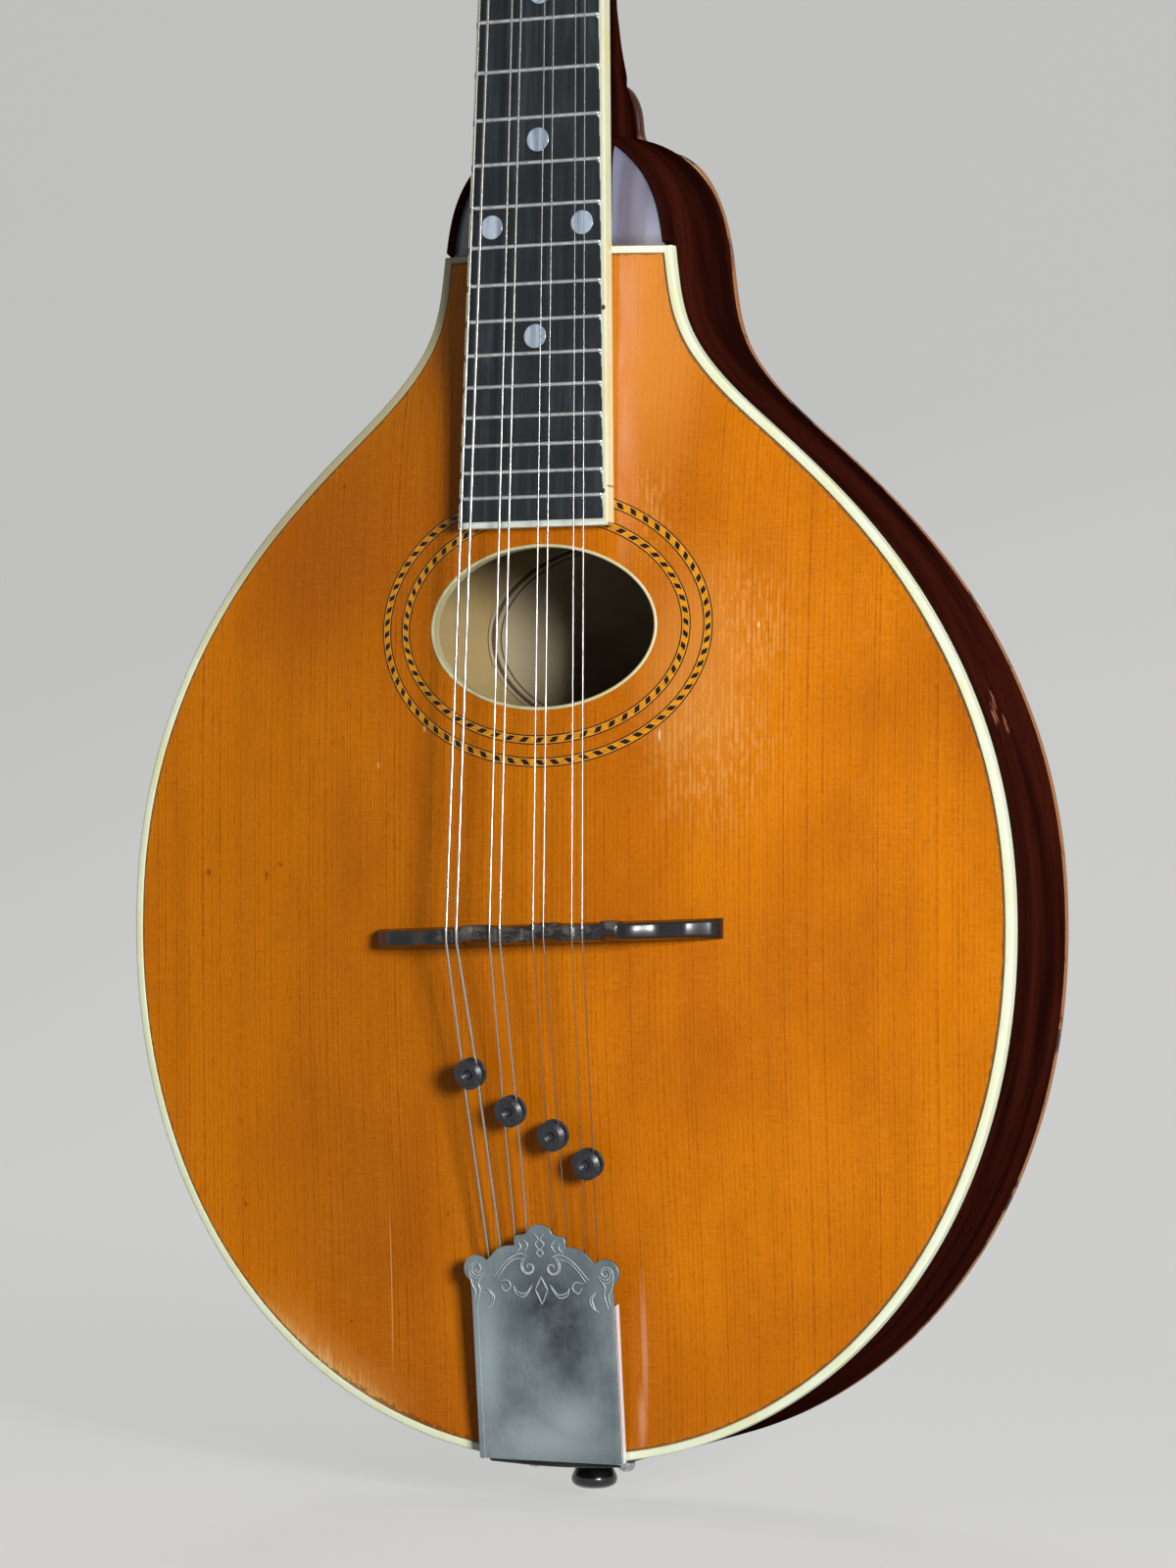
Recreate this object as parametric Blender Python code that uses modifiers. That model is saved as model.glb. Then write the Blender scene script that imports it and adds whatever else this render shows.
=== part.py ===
import math

import bmesh
import bpy
import numpy as np
from mathutils import Matrix, Vector

# Lengths are metres. X runs to the treble side and Z up the neck, and the soundboard faces -Y.
# Heights start at the nut line, and depths at the plane of the soundboard's edge.

# Clearances
seat_gap = 0.0003
turn_gap = 0.00035

# Body outline and walls
neck_joint = 0.1763
body_length = 0.3150
bout_length = 0.1389
bout_squareness = 2.09
body_width = 0.2500
shoulder_width = 0.0646
shoulder_rise = 0.0338
shoulder_rise_back = 0.0350
rim_depth = 0.0447
rib_wall = 0.0018
plate_wall = 0.0036
top_crown = 0.0110
back_crown = 0.0120
spine_start = 0.0750
binding_width = 0.0023
binding_depth = 0.0040
cross_binding_width = 0.0020
lining_width = 0.0050
lining_depth = 0.0095
heel_button_width = 0.0142
heel_button_reach = 0.0496

# Sound hole and inlaid rings
hole_drop = 0.0985
hole_width = 0.0626
hole_height = 0.0413
hole_binding_width = 0.0013
inlay_width = 0.0024
inlay_depth = 0.0012
inner_inlay_offset = 0.0080
outer_inlay_offset = 0.0138

# Blocks, brace and label
head_block_length = 0.0253
shoulder_lift = 0.0010
shoulder_inset = 0.0002
tail_block_width = 0.0520
tail_block_length = 0.0160
brace_width = 0.0080
brace_depth = 0.0110
brace_drop = 0.1400
brace_gap = 0.0009
label_width = 0.0846
label_height = 0.0544
label_wall = 0.0003
label_gap = 0.0009

# Neck and fingerboard
scale_length = 0.3524
fret_count = 20
fret_height = 0.0009
fret_width = 0.0022
board_wall = 0.0050
board_face_at_nut = 0.0065
board_slope = 0.0351
board_overhang = 0.0079
board_clearance = 0.0009
nut_width = 0.0307
board_width_at_joint = 0.0390
board_binding_width = 0.0014
neck_inset = 0.0009
neck_depth_at_nut = 0.0142
neck_foot_at_nut = 0.0142
neck_straight = 0.0400
tenon_start = 0.0080
nut_length = 0.0045
nut_rise = 0.0013

# The heel below the tip of its button: drop from the tip, share of the button's width, squareness
heel_foot = ((0.0196, 1.00, 0.30), (0.0141, 0.97, 0.30), (0.0072, 0.82, 0.32), (0.0036, 0.62, 0.34),
             (0.0012, 0.50, 0.36))
# The heel past the tip: rise from the tip, lift of its underside, half-width of the foot, squareness
heel_curve = ((0.0008, 0.0012, 0.0045, 0.42), (0.0030, 0.0046, 0.0061, 0.52),
              (0.0062, 0.0090, 0.0078, 0.60), (0.0105, 0.0138, 0.0096, 0.66),
              (0.0150, 0.0176, 0.0109, 0.72), (0.0205, 0.0206, 0.0125, 0.78),
              (0.0290, 0.0232, 0.0144, 0.84), (0.0450, 0.0246, 0.0152, 0.88))

# Headstock
head_pitch = 15.0
head_length = 0.1520
head_wall = 0.0142
head_veneer = 0.0014
head_waist_width = 0.0340
head_lower_width = 0.0600
head_upper_width = 0.0680

# Tuners
tuner_spacing = 0.0230
first_tuner = 0.0400
post_side = 0.0185
post_radius = 0.0029
post_height = 0.0130
plate_sheet = 0.0012
plate_width = 0.0160
gear_teeth = 14
gear_pitch_radius = 0.00423
gear_wall = 0.0024
tooth_addendum = 0.00045
tooth_dedendum = 0.00055
tooth_width = 0.0006
worm_root_radius = 0.00165
worm_pitch_radius = 0.0022
worm_length = 0.0057
shaft_radius = 0.0014
lug_wall = 0.0014
key_reach = 0.0170
key_button_width = 0.0130
key_button_height = 0.0100
key_button_wall = 0.0065

# Strings, bridge and grommets
course_names = ("g", "d", "a", "e")
string_radii = (0.00045, 0.00032, 0.00021, 0.00017)
course_at_nut = (-0.0124, -0.0045, 0.0033, 0.0111)
course_at_bridge = (-0.0189, -0.0066, 0.00565, 0.0165)
course_at_hooks = (-0.01225, -0.00525, 0.0052, 0.0132)
pair_at_nut = 0.0024
pair_at_bridge = 0.0029
pair_at_hooks = 0.0036
saddle_drop = 0.0016
string_height_at_bridge = 0.0240
string_height_at_hooks = 0.0044
wrap_count = 1.5
wrap_points = 10
bridge_length = 0.0966
bridge_wall = 0.0052
bridge_top_wall = 0.0034
bridge_shift = 0.0016
bridge_turn = 1.9
bridge_foot_height = 0.0042
saddle_half_length = 0.0250
grommet_radius = 0.0041
grommet_wall = 0.0046
grommet_groove = 0.0012
grommet_shares = (0.478, 0.605, 0.685, 0.780)

# Tailpiece
cover_width = 0.0402
cover_sheet = 0.0008
cover_flange = 0.0033
cover_lift = 0.0042
cover_slope = 0.1180
cover_inset = 0.0020
cover_side_length = 0.0395
cover_crest = 0.0204
cover_ear_radius = 0.0037
cover_ear_inset = 0.0018
cover_ear_rise = 0.0081
cover_shoulder_radius = 0.0058
cover_shoulder_inset = 0.0104
cover_shoulder_rise = 0.0088
cover_knob_radius = 0.0026
cover_knob_side = 0.0048
cover_knob_rise = 0.0152
cover_bell_radius = 0.0044
cover_bell_rise = 0.0160
base_sheet = 0.0008
base_slope = 0.0650
base_length = 0.0360
rail_start = 0.0030
rail_end = 0.0315
hook_inset = 0.0320
hook_radius = 0.0004
hook_height = 0.0018
bracket_depth = 0.0320
bracket_width = 0.0340
screw_side = 0.0130
screw_depth = 0.0150
screw_radius = 0.0013
screw_length = 0.0110
screw_head_radius = 0.0025
screw_head_height = 0.0026
pin_depth = 0.0240
pin_radius = 0.0038
pin_length = 0.0150
pin_button_radius = 0.0062
pin_reach = 0.0076

# Places worked out from the sizes above
neck_line = -neck_joint
tail_line = neck_line - body_length
bout_line = tail_line + bout_length
bridge_line = -scale_length - saddle_drop
board_end = -scale_length * (1 - 2 ** (-fret_count / 12)) - board_overhang
hole_line = neck_line - hole_drop
rib_back = rim_depth - plate_wall - seat_gap
slot_end = neck_line + shoulder_rise_back + 0.0100

# Scene set-up
for leftover in list(bpy.data.objects):
    bpy.data.objects.remove(leftover, do_unlink=True)
parts = bpy.data.collections.new("a_style_mandolin")
cutters = bpy.data.collections.new("cutters")
bpy.context.scene.collection.children.link(parts)
bpy.context.scene.collection.children.link(cutters)


def finish(name, colour, roughness, metallic=0.0):
    material = bpy.data.materials.new(name)
    material.use_nodes = True
    shader = material.node_tree.nodes["Principled BSDF"]
    shader.inputs["Base Color"].default_value = (*colour, 1.0)
    shader.inputs["Roughness"].default_value = roughness
    shader.inputs["Metallic"].default_value = metallic
    return material


amber_spruce = finish("amber_spruce", (0.56, 0.20, 0.02), 0.35)
raw_spruce = finish("raw_spruce", (0.62, 0.42, 0.22), 0.70)
red_brown_wood = finish("red_brown_wood", (0.09, 0.018, 0.010), 0.30)
black_wood = finish("black_wood", (0.012, 0.010, 0.010), 0.40)
cream_celluloid = finish("cream_celluloid", (0.78, 0.72, 0.46), 0.35)
rope_inlay = finish("rope_inlay", (0.55, 0.28, 0.05), 0.40)
aged_paper = finish("aged_paper", (0.66, 0.55, 0.38), 0.85)
bone = finish("bone", (0.80, 0.76, 0.62), 0.40)
nickel = finish("nickel", (0.50, 0.50, 0.48), 0.30, 1.0)
steel_wire = finish("steel_wire", (0.62, 0.62, 0.62), 0.25, 1.0)
bronze_wire = finish("bronze_wire", (0.60, 0.52, 0.40), 0.30, 1.0)
brass = finish("brass", (0.58, 0.42, 0.16), 0.35, 1.0)
black_rubber = finish("black_rubber", (0.015, 0.015, 0.017), 0.55)
ivoroid = finish("ivoroid", (0.80, 0.76, 0.60), 0.30)


def at(across, height, out):
    """World place of a point given across the body, up the neck and out of the front."""
    across, height, out = np.broadcast_arrays(across, height, out)
    return np.stack([across, -out, height], axis=-1)


def add_mesh(name, mesh_data, material, collection=parts):
    mesh = bpy.data.meshes.new(name)
    bmesh.ops.remove_doubles(mesh_data, verts=mesh_data.verts, dist=1e-6)
    bmesh.ops.recalc_face_normals(mesh_data, faces=mesh_data.faces)
    mesh_data.to_mesh(mesh)
    mesh_data.free()
    obj = bpy.data.objects.new(name, mesh)
    if material:
        mesh.materials.append(material)
    mesh.shade_smooth()
    mesh.set_sharp_from_angle(angle=math.radians(35))
    collection.objects.link(obj)
    return obj


def sweep(name, sections, material, closed=False, collection=parts):
    """Skin a row of matching sections, capped at its ends or closed on itself."""
    count, size = sections.shape[:2]
    mesh_data = bmesh.new()
    rows = [[mesh_data.verts.new(point) for point in section] for section in sections]
    for i in range(count if closed else count - 1):
        row = rows[i]
        following = rows[(i + 1) % count]
        for j in range(size):
            k = (j + 1) % size
            mesh_data.faces.new((row[j], row[k], following[k], following[j]))
    if not closed:
        mesh_data.faces.new(rows[0])
        mesh_data.faces.new(rows[-1])
    return add_mesh(name, mesh_data, material, collection)


def box(name, low, high, material=None, collection=cutters):
    size = Vector(high) - Vector(low)
    middle = (Vector(high) + Vector(low)) / 2
    mesh_data = bmesh.new()
    bmesh.ops.create_cube(mesh_data, size=1.0)
    bmesh.ops.scale(mesh_data, vec=size, verts=mesh_data.verts)
    bmesh.ops.translate(mesh_data, vec=middle, verts=mesh_data.verts)
    return add_mesh(name, mesh_data, material, collection)


def turned(name, profile, sides, material, collection=parts):
    """A turned piece about its own Z axis. The profile is (radius, height) from top to bottom."""
    mesh = bpy.data.meshes.new(name)
    points = [(radius, 0.0, height) for radius, height in profile]
    mesh.from_pydata(points, [(i, i + 1) for i in range(len(points) - 1)], [])
    obj = bpy.data.objects.new(name, mesh)
    collection.objects.link(obj)
    mesh.materials.append(material)
    lathe = obj.modifiers.new("lathe", "SCREW")
    lathe.axis = "Z"
    lathe.steps = sides
    lathe.render_steps = sides
    lathe.use_merge_vertices = True
    lathe.merge_threshold = 1e-5
    lathe.use_smooth_shade = True
    return obj


def flat_outline(name, points, low, high, material, collection=parts):
    """A flat outline in its own XY plane, thickened from low to high."""
    curve = bpy.data.curves.new(name, "CURVE")
    curve.dimensions = "2D"
    curve.fill_mode = "BOTH"
    curve.extrude = (high - low) / 2
    spline = curve.splines.new("POLY")
    spline.points.add(len(points) - 1)
    for knot, (x, y) in zip(spline.points, points):
        knot.co = (x, y, 0.0, 1.0)
    spline.use_cyclic_u = True
    obj = bpy.data.objects.new(name, curve)
    obj.location.z = (high + low) / 2
    collection.objects.link(obj)
    return as_mesh(obj, material, collection)


def as_mesh(obj, material, collection=parts):
    """Swap a curve object for its mesh, with the caps welded."""
    bpy.context.view_layer.update()
    evaluated = obj.evaluated_get(bpy.context.evaluated_depsgraph_get())
    mesh = bpy.data.meshes.new_from_object(evaluated)
    mesh.transform(obj.matrix_world)
    mesh_data = bmesh.new()
    mesh_data.from_mesh(mesh)
    name = obj.name
    bpy.data.objects.remove(obj, do_unlink=True)
    bpy.data.meshes.remove(mesh)
    return add_mesh(name, mesh_data, material, collection)


def tool(obj):
    """Keep an object only as a cutter."""
    for holder in list(obj.users_collection):
        holder.objects.unlink(obj)
    cutters.objects.link(obj)
    obj.hide_render = True
    obj.display_type = "WIRE"
    return obj


def combine(obj, other, operation):
    change = obj.modifiers.new(operation.lower(), "BOOLEAN")
    change.operation = operation
    change.solver = "EXACT"
    change.object = tool(other)
    return obj


def cut(obj, other):
    return combine(obj, other, "DIFFERENCE")


def join(obj, other):
    return combine(obj, other, "UNION")


def smooth_loop(knots, steps):
    """Places and outward normals along one smooth closed curve through the knots."""
    knots = np.array(knots, dtype=float)
    count = len(knots)
    ahead = np.roll(knots, -1, axis=0)
    behind = np.roll(knots, 1, axis=0)
    reach = np.linalg.norm(ahead - knots, axis=1)
    past = np.roll(reach, 1)
    system = np.zeros((count, count))
    rows = np.arange(count)
    system[rows, rows - 1] = reach
    system[rows, rows] = 2 * (reach + past)
    system[rows, (rows + 1) % count] = past
    right = 3 * (reach / past)[:, None] * (knots - behind) + 3 * (past / reach)[:, None] * (ahead - knots)
    slope = np.linalg.solve(system, right)
    share = (np.arange(steps) / steps)[None, :, None]
    start = knots[:, None]
    end = ahead[:, None]
    pull = slope[:, None] * reach[:, None, None]
    pull_end = np.roll(slope, -1, axis=0)[:, None] * reach[:, None, None]
    place = ((2 * share**3 - 3 * share**2 + 1) * start + (share**3 - 2 * share**2 + share) * pull
             + (3 * share**2 - 2 * share**3) * end + (share**3 - share**2) * pull_end)
    along = ((6 * share**2 - 6 * share) * (start - end) + (3 * share**2 - 4 * share + 1) * pull
             + (3 * share**2 - 2 * share) * pull_end)
    normal = np.stack([along[..., 1], -along[..., 0]], axis=-1)
    normal /= np.linalg.norm(normal, axis=-1, keepdims=True)
    return place.reshape(-1, 2), normal.reshape(-1, 2)


# The upper outline, as shares of the way from shoulder width to full width, and of its height
waist_shares = ((0.945, 0.235), (0.822, 0.400), (0.621, 0.560), (0.320, 0.720), (0.150, 0.803),
                (0.042, 0.885))


def outline_knots(rise, button):
    """Knots of the body outline: a half superellipse, a waist and a small elliptic shoulder."""
    half = body_width / 2
    corner = shoulder_width / 2
    upper = body_length - bout_length
    power = 2 / bout_squareness
    turns = [math.radians(a) for a in (18, 36, 54, 72, 90)]
    side = [(half * math.sin(a) ** power, bout_line - bout_length * abs(math.cos(a)) ** power)
            for a in turns]
    side += [(corner + (half - corner) * wide, bout_line + upper * high) for wide, high in waist_shares]
    side.append((corner, neck_line))
    side += [(corner * math.cos(math.radians(a)), neck_line + rise * math.sin(math.radians(a)))
             for a in (30, 60)]
    top = [(0.0, neck_line + rise)]
    if button:
        root = heel_button_width / 2
        lift = neck_line + rise * math.sqrt(1 - (root / corner) ** 2)
        tip = neck_line + heel_button_reach
        side += [(root, lift), (root * 0.76, lift + (tip - lift) * 0.55)]
        top = [(0.0, tip)]
    other = [(-x, y) for x, y in reversed(side)]
    return [(0.0, tail_line)] + side + top + other


def body_loop(inset=0.0, back=False, button=False):
    rise = shoulder_rise_back if back else shoulder_rise
    place, normal = smooth_loop(outline_knots(rise, button), 2)
    return place - normal * inset


side_table, side_normals = smooth_loop(outline_knots(shoulder_rise, False), 10)
side_normals = side_normals[:len(side_table) // 2 + 1]
side_table = side_table[:len(side_table) // 2 + 1]


def half_width(height, inset=0.0):
    edge = side_table - side_normals * inset
    return np.interp(height, edge[:, 1], edge[:, 0])


def crown(across, height, rise, tail_power, neck_power):
    """Arch of a carved plate: highest on the widest line, falling to nothing at the edge."""
    above = np.clip((height - bout_line) / (neck_line + 0.036 - bout_line), 0, 0.9999)
    below = np.clip((bout_line - height) / (bout_length - binding_width), 0, 1)
    middle = np.where(height > bout_line, (1 - above**2) ** neck_power, (1 - below**2) ** tail_power)
    edge = np.maximum(half_width(height) - binding_width, 0.002)
    share = np.clip(np.abs(across) / edge, 0, 1)
    power = 2.2 - 1.2 * np.clip((height - bout_line) / (neck_line - bout_line), 0, 1)
    return rise * middle * (1 - share**2) ** power


def top_face(across, height):
    return crown(np.asarray(across), np.asarray(height), top_crown, 2.3, 0.456)


def back_face(across, height):
    return -rim_depth - crown(np.asarray(across), np.asarray(height), back_crown, 1.5, 0.9)


def board_half(height):
    joint = board_width_at_joint / 2
    return joint + (nut_width / 2 - joint) * (np.asarray(height) + neck_joint) / neck_joint


def board_face(height):
    return board_face_at_nut - board_slope * np.asarray(height)


def fret_line(number):
    return -scale_length * (1 - 2 ** (-number / 12))


def band(name, width, front, back, material, inset=0.0):
    """A wall that follows the body outline, given its width and its front and back depths."""
    outer = body_loop(inset)
    outer_back = body_loop(inset, back=True)
    inner = body_loop(inset + width)
    inner_back = body_loop(inset + width, back=True)
    sections = np.stack([at(*outer.T, -front), at(*outer_back.T, -back), at(*inner_back.T, -back),
                         at(*inner.T, -front)], axis=1)
    return sweep(name, sections, material, closed=True)


def ellipse_loop(directions, offset):
    """Points of the sound hole's ellipse grown by offset, in the given directions."""
    wide = hole_width / 2 + offset
    high = hole_height / 2 + offset
    return np.stack([wide * directions[:, 0], hole_line + high * directions[:, 1]], axis=-1)


def hole_directions():
    edge = body_loop(binding_width + seat_gap)
    way = (edge - np.array([0.0, hole_line])) / np.array([hole_width, hole_height])
    return way / np.linalg.norm(way, axis=1, keepdims=True)


def soundboard():
    """A carved plate as one profile carried round the body, with its hole and inlay grooves."""
    outer = body_loop(binding_width + seat_gap)
    outer[:, 1] = np.minimum(outer[:, 1], neck_line - cross_binding_width - seat_gap)
    way = hole_directions()
    hole = ellipse_loop(way, hole_binding_width + seat_gap)
    groove = {}
    for offset in (inner_inlay_offset, outer_inlay_offset):
        inside = ellipse_loop(way, offset - seat_gap)
        groove[offset] = (inside, ellipse_loop(way, offset + inlay_width + seat_gap))
    rim = groove[outer_inlay_offset][1]
    cap = neck_line - cross_binding_width - seat_gap - 0.001
    wall = plate_wall

    def front(loop, sink=0.0):
        return at(*loop.T, top_face(*loop.T) - sink)

    rings = [front(outer)]
    rings += [front(outer + (rim - outer) * share) for share in (0.3, 0.7)]
    for offset in (outer_inlay_offset, inner_inlay_offset):
        inside, outside = groove[offset]
        sink = inlay_depth + seat_gap
        outside = np.stack([outside[:, 0], np.minimum(outside[:, 1], cap)], axis=-1)
        rings += [front(outside), front(outside, sink), front(inside, sink), front(inside)]
    rings += [front(hole), front(hole, wall)]
    rings += [front(outer + (hole - outer) * share, wall) for share in (0.6, 0.25)]
    rings += [front(outer, wall)]
    return sweep("soundboard", np.stack(rings, axis=1), amber_spruce, closed=True)


def hole_ring(name, inner, width, low, high, material):
    """A flat ring let into the soundboard round the sound hole."""
    way = hole_directions()
    inside = ellipse_loop(way, inner)
    outside = ellipse_loop(way, inner + width)
    rings = [at(*inside.T, top_face(*inside.T) + high), at(*outside.T, top_face(*outside.T) + high),
             at(*outside.T, top_face(*outside.T) + low), at(*inside.T, top_face(*inside.T) + low)]
    return sweep(name, np.stack(rings, axis=1), material, closed=True)


def back_plate():
    """A carved plate with the heel button, as an open sheet given its thickness."""
    edge = body_loop(0.0, back=True, button=True)
    low = tail_line + spine_start
    spine = np.stack([np.zeros(len(edge)), np.clip(edge[:, 1], low, None)], axis=-1)
    mesh_data = bmesh.new()
    rows = []
    for share in (0.0, 0.13, 0.34, 0.60, 0.84, 1.0):
        ring = edge + (spine - edge) * share
        face = at(*ring.T, back_face(*ring.T))
        rows.append([mesh_data.verts.new(point) for point in face])
    for row, inner in zip(rows, rows[1:]):
        for j in range(len(row)):
            k = (j + 1) % len(row)
            mesh_data.faces.new((row[j], inner[j], inner[k], row[k]))
    bmesh.ops.remove_doubles(mesh_data, verts=mesh_data.verts, dist=1e-6)
    bmesh.ops.recalc_face_normals(mesh_data, faces=mesh_data.faces)
    if sum(face.normal.y * face.calc_area() for face in mesh_data.faces) < 0:
        bmesh.ops.reverse_faces(mesh_data, faces=mesh_data.faces)
    mesh = bpy.data.meshes.new("back")
    mesh_data.to_mesh(mesh)
    mesh_data.free()
    mesh.materials.append(red_brown_wood)
    obj = bpy.data.objects.new("back", mesh)
    parts.objects.link(obj)
    thicken = obj.modifiers.new("thickness", "SOLIDIFY")
    thicken.thickness = plate_wall
    thicken.offset = -1.0
    return obj


def heel_sections(grow, end):
    """Sections of the neck from its tenon to the nut: a flat top and a rounded, tapering underside."""
    tip = neck_line + heel_button_reach
    root = heel_button_width / 2
    stations = [(neck_line + tenon_start, rib_back, root * 0.96, 0.30)]
    stations += [(tip - drop, rib_back, root * share, power) for drop, share, power in heel_foot]
    stations += [(tip + rise, rib_back - lift, foot, power) for rise, lift, foot, power in heel_curve]
    stations += [(-neck_straight, neck_depth_at_nut, neck_foot_at_nut + 0.0008, 0.90),
                 (nut_length, neck_depth_at_nut - 0.0003, neck_foot_at_nut, 0.92)]
    turns = np.linspace(0, math.pi, 15)
    sections = []
    for height, bottom, foot, power in stations:
        if height > end:
            break
        half = board_half(height) - neck_inset + grow
        top = board_face(height) - board_wall - seat_gap + grow
        foot = foot + grow
        sag = np.abs(np.sin(turns)) ** power
        side = np.sign(np.cos(turns)) * np.abs(np.cos(turns)) ** power
        across = (half + (foot - half) * sag) * side
        sections.append(at(across, height - grow, top - (top + bottom + grow) * sag))
    return np.stack(sections)


def head_place(across, along, lift):
    """World place of a point on the headstock: along its face from the nut, and out of it."""
    pitch = math.radians(head_pitch)
    base = board_face(0.0) - board_wall - seat_gap
    height = nut_length + along * math.cos(pitch) + lift * math.sin(pitch)
    return Vector((across, -(base - along * math.sin(pitch) + lift * math.cos(pitch)), height))


def head_frame():
    """The headstock's own axes: X across, Y up its length, Z out of its face."""
    pitch = math.radians(head_pitch)
    sine, cosine = math.sin(pitch), math.cos(pitch)
    turn = Matrix(((1, 0, 0), (0, sine, -cosine), (0, cosine, sine)))
    return Matrix.Translation(head_place(0, 0, 0)) @ turn.to_4x4()


def head_outline(trim):
    """Half of a plain paddle outline, mirrored, as (across, along) points."""
    waist = head_waist_width / 2 - trim
    lower = head_lower_width / 2 - trim
    upper = head_upper_width / 2 - trim
    top = head_length - trim
    side = [(waist, 0.0), (waist + 0.0008, 0.006), (waist + 0.0040, 0.0135), (lower - 0.0045, 0.0220),
            (lower - 0.0008, 0.0300), (lower, 0.0380), (upper - 0.0010, 0.1080), (upper, top - 0.0260)]
    corner = 0.012
    side += arc((upper - corner, top - 0.0165), corner, 5, 65, 3)
    side += [(upper * 0.36, top - 0.0012)]
    return side + [(0.0, top)] + [(-x, y) for x, y in reversed(side)]


def tuner_places():
    """Each tuner as (name, side sign, distance up the headstock)."""
    places = []
    for side, sign in (("bass", -1), ("treble", 1)):
        for number in range(4):
            places.append((f"{side}_{number + 1}", sign, first_tuner + number * tuner_spacing))
    return places


plate_top = -head_wall - seat_gap
gear_top = plate_top - plate_sheet - turn_gap
worm_lift = gear_top - gear_wall / 2
worm_offset = gear_pitch_radius + worm_pitch_radius


def neck():
    obj = sweep("neck", heel_sections(0.0, 1.0), red_brown_wood)
    head = flat_outline("headstock_blank", head_outline(0.0), -head_wall, -seat_gap, red_brown_wood)
    head.matrix_world = head_frame()
    join(obj, head)
    cut(obj, post_drills(turn_gap))
    return obj


def post_drills(gap):
    """Eight straight holes through the headstock, as one cutter."""
    mesh_data = bmesh.new()
    for name, sign, along in tuner_places():
        made = bmesh.ops.create_cone(mesh_data, cap_ends=True, segments=8, radius1=post_radius + gap,
                                     radius2=post_radius + gap, depth=0.06)
        bmesh.ops.translate(mesh_data, vec=(sign * post_side, along, 0.0), verts=made["verts"])
    drills = add_mesh("post_drills", mesh_data, None, cutters)
    drills.matrix_world = head_frame()
    return drills


def headstock_veneer():
    obj = flat_outline("headstock_veneer", head_outline(0.0004), 0.0, head_veneer, black_wood)
    obj.matrix_world = head_frame()
    return cut(obj, post_drills(turn_gap))


def ribs():
    obj = band("ribs", rib_wall, 0.0, rib_back, red_brown_wood)
    low = (-body_width, -top_crown, tail_line - binding_width)
    high = (body_width, binding_depth + seat_gap, neck_line + seat_gap)
    cut(obj, box("binding_rebate", low, high))
    cut(obj, sweep("heel_slot", heel_sections(seat_gap, slot_end), None, collection=cutters))
    return cut(obj, tail_drills())


def top_binding():
    """Cream edging round the top, closed by a strip across the neck end."""
    obj = band("top_binding", binding_width, 0.0, binding_depth, cream_celluloid)
    high = (body_width, 2 * binding_depth, neck_line + 2 * shoulder_rise)
    cut(obj, box("above_neck_line", (-body_width, -top_crown, neck_line), high))
    across = np.linspace(-1, 1, 9) * (shoulder_width / 2 - 0.0010)
    sections = []
    for x in across:
        face = float(top_face(x, neck_line - cross_binding_width / 2))
        sections.append(at(x, np.array([neck_line - cross_binding_width, neck_line - 0.0001,
                                        neck_line - 0.0001, neck_line - cross_binding_width]),
                           np.array([face, face, face - 0.0030, face - 0.0030]) - 0.0001))
    return join(obj, sweep("cross_strip", np.stack(sections), None, collection=cutters))


def head_block():
    """The neck block: hidden under the top, and a domed shoulder past the top's end."""
    below = -(binding_depth + seat_gap)
    stations = [(neck_line - head_block_length * share, False) for share in (1.0, 0.8, 0.6, 0.4, 0.2)]
    stations += [(neck_line - 0.0001, False), (neck_line + seat_gap, True)]
    stations += [(neck_line + shoulder_rise * share, True) for share in (0.25, 0.5, 0.7, 0.8)]
    sections = []
    for height, shown in stations:
        half = float(half_width(height, rib_wall + seat_gap + shoulder_inset))
        across = np.linspace(-1, 1, 7) * half
        face = top_face(across, height) + shoulder_lift if shown else np.full(7, below)
        across = np.concatenate([across, [half, -half]])
        face = np.concatenate([face, [-rib_back, -rib_back]])
        sections.append(at(across, height, face))
    obj = sweep("head_block", np.stack(sections), black_wood)
    return cut(obj, sweep("tenon_slot", heel_sections(seat_gap, slot_end), None, collection=cutters))


def tail_edge(across):
    """Height of the body's lower end at a distance across from its middle."""
    share = abs(2 * across / body_width) ** bout_squareness
    return bout_line - bout_length * (1 - share) ** (1 / bout_squareness)


def tail_angle(across):
    """Angle of the body's lower end to the X axis at a distance across from its middle."""
    share = abs(2 * across / body_width)
    bend = (1 - share**bout_squareness) ** (1 / bout_squareness - 1) * share ** (bout_squareness - 1)
    return math.copysign(math.atan(2 * bout_length / body_width * bend), across)


def tail_drills():
    """Holes for the bracket's screws and the end pin, as one cutter."""
    mesh_data = bmesh.new()
    holes = [(sign * screw_side, screw_depth, screw_radius) for sign in (-1, 1)]
    holes.append((0.0, pin_depth, pin_radius))
    for across, deep, radius in holes:
        made = bmesh.ops.create_cone(mesh_data, cap_ends=True, segments=12, radius1=radius + seat_gap,
                                     radius2=radius + seat_gap, depth=0.05)
        turn = Matrix.Rotation(-tail_angle(across), 3, "Y")
        bmesh.ops.rotate(mesh_data, cent=(0.0, 0.0, 0.0), matrix=turn, verts=made["verts"])
        bmesh.ops.translate(mesh_data, vec=(across, deep, tail_edge(across)), verts=made["verts"])
    return add_mesh("tail_drills", mesh_data, None, cutters)


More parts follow.
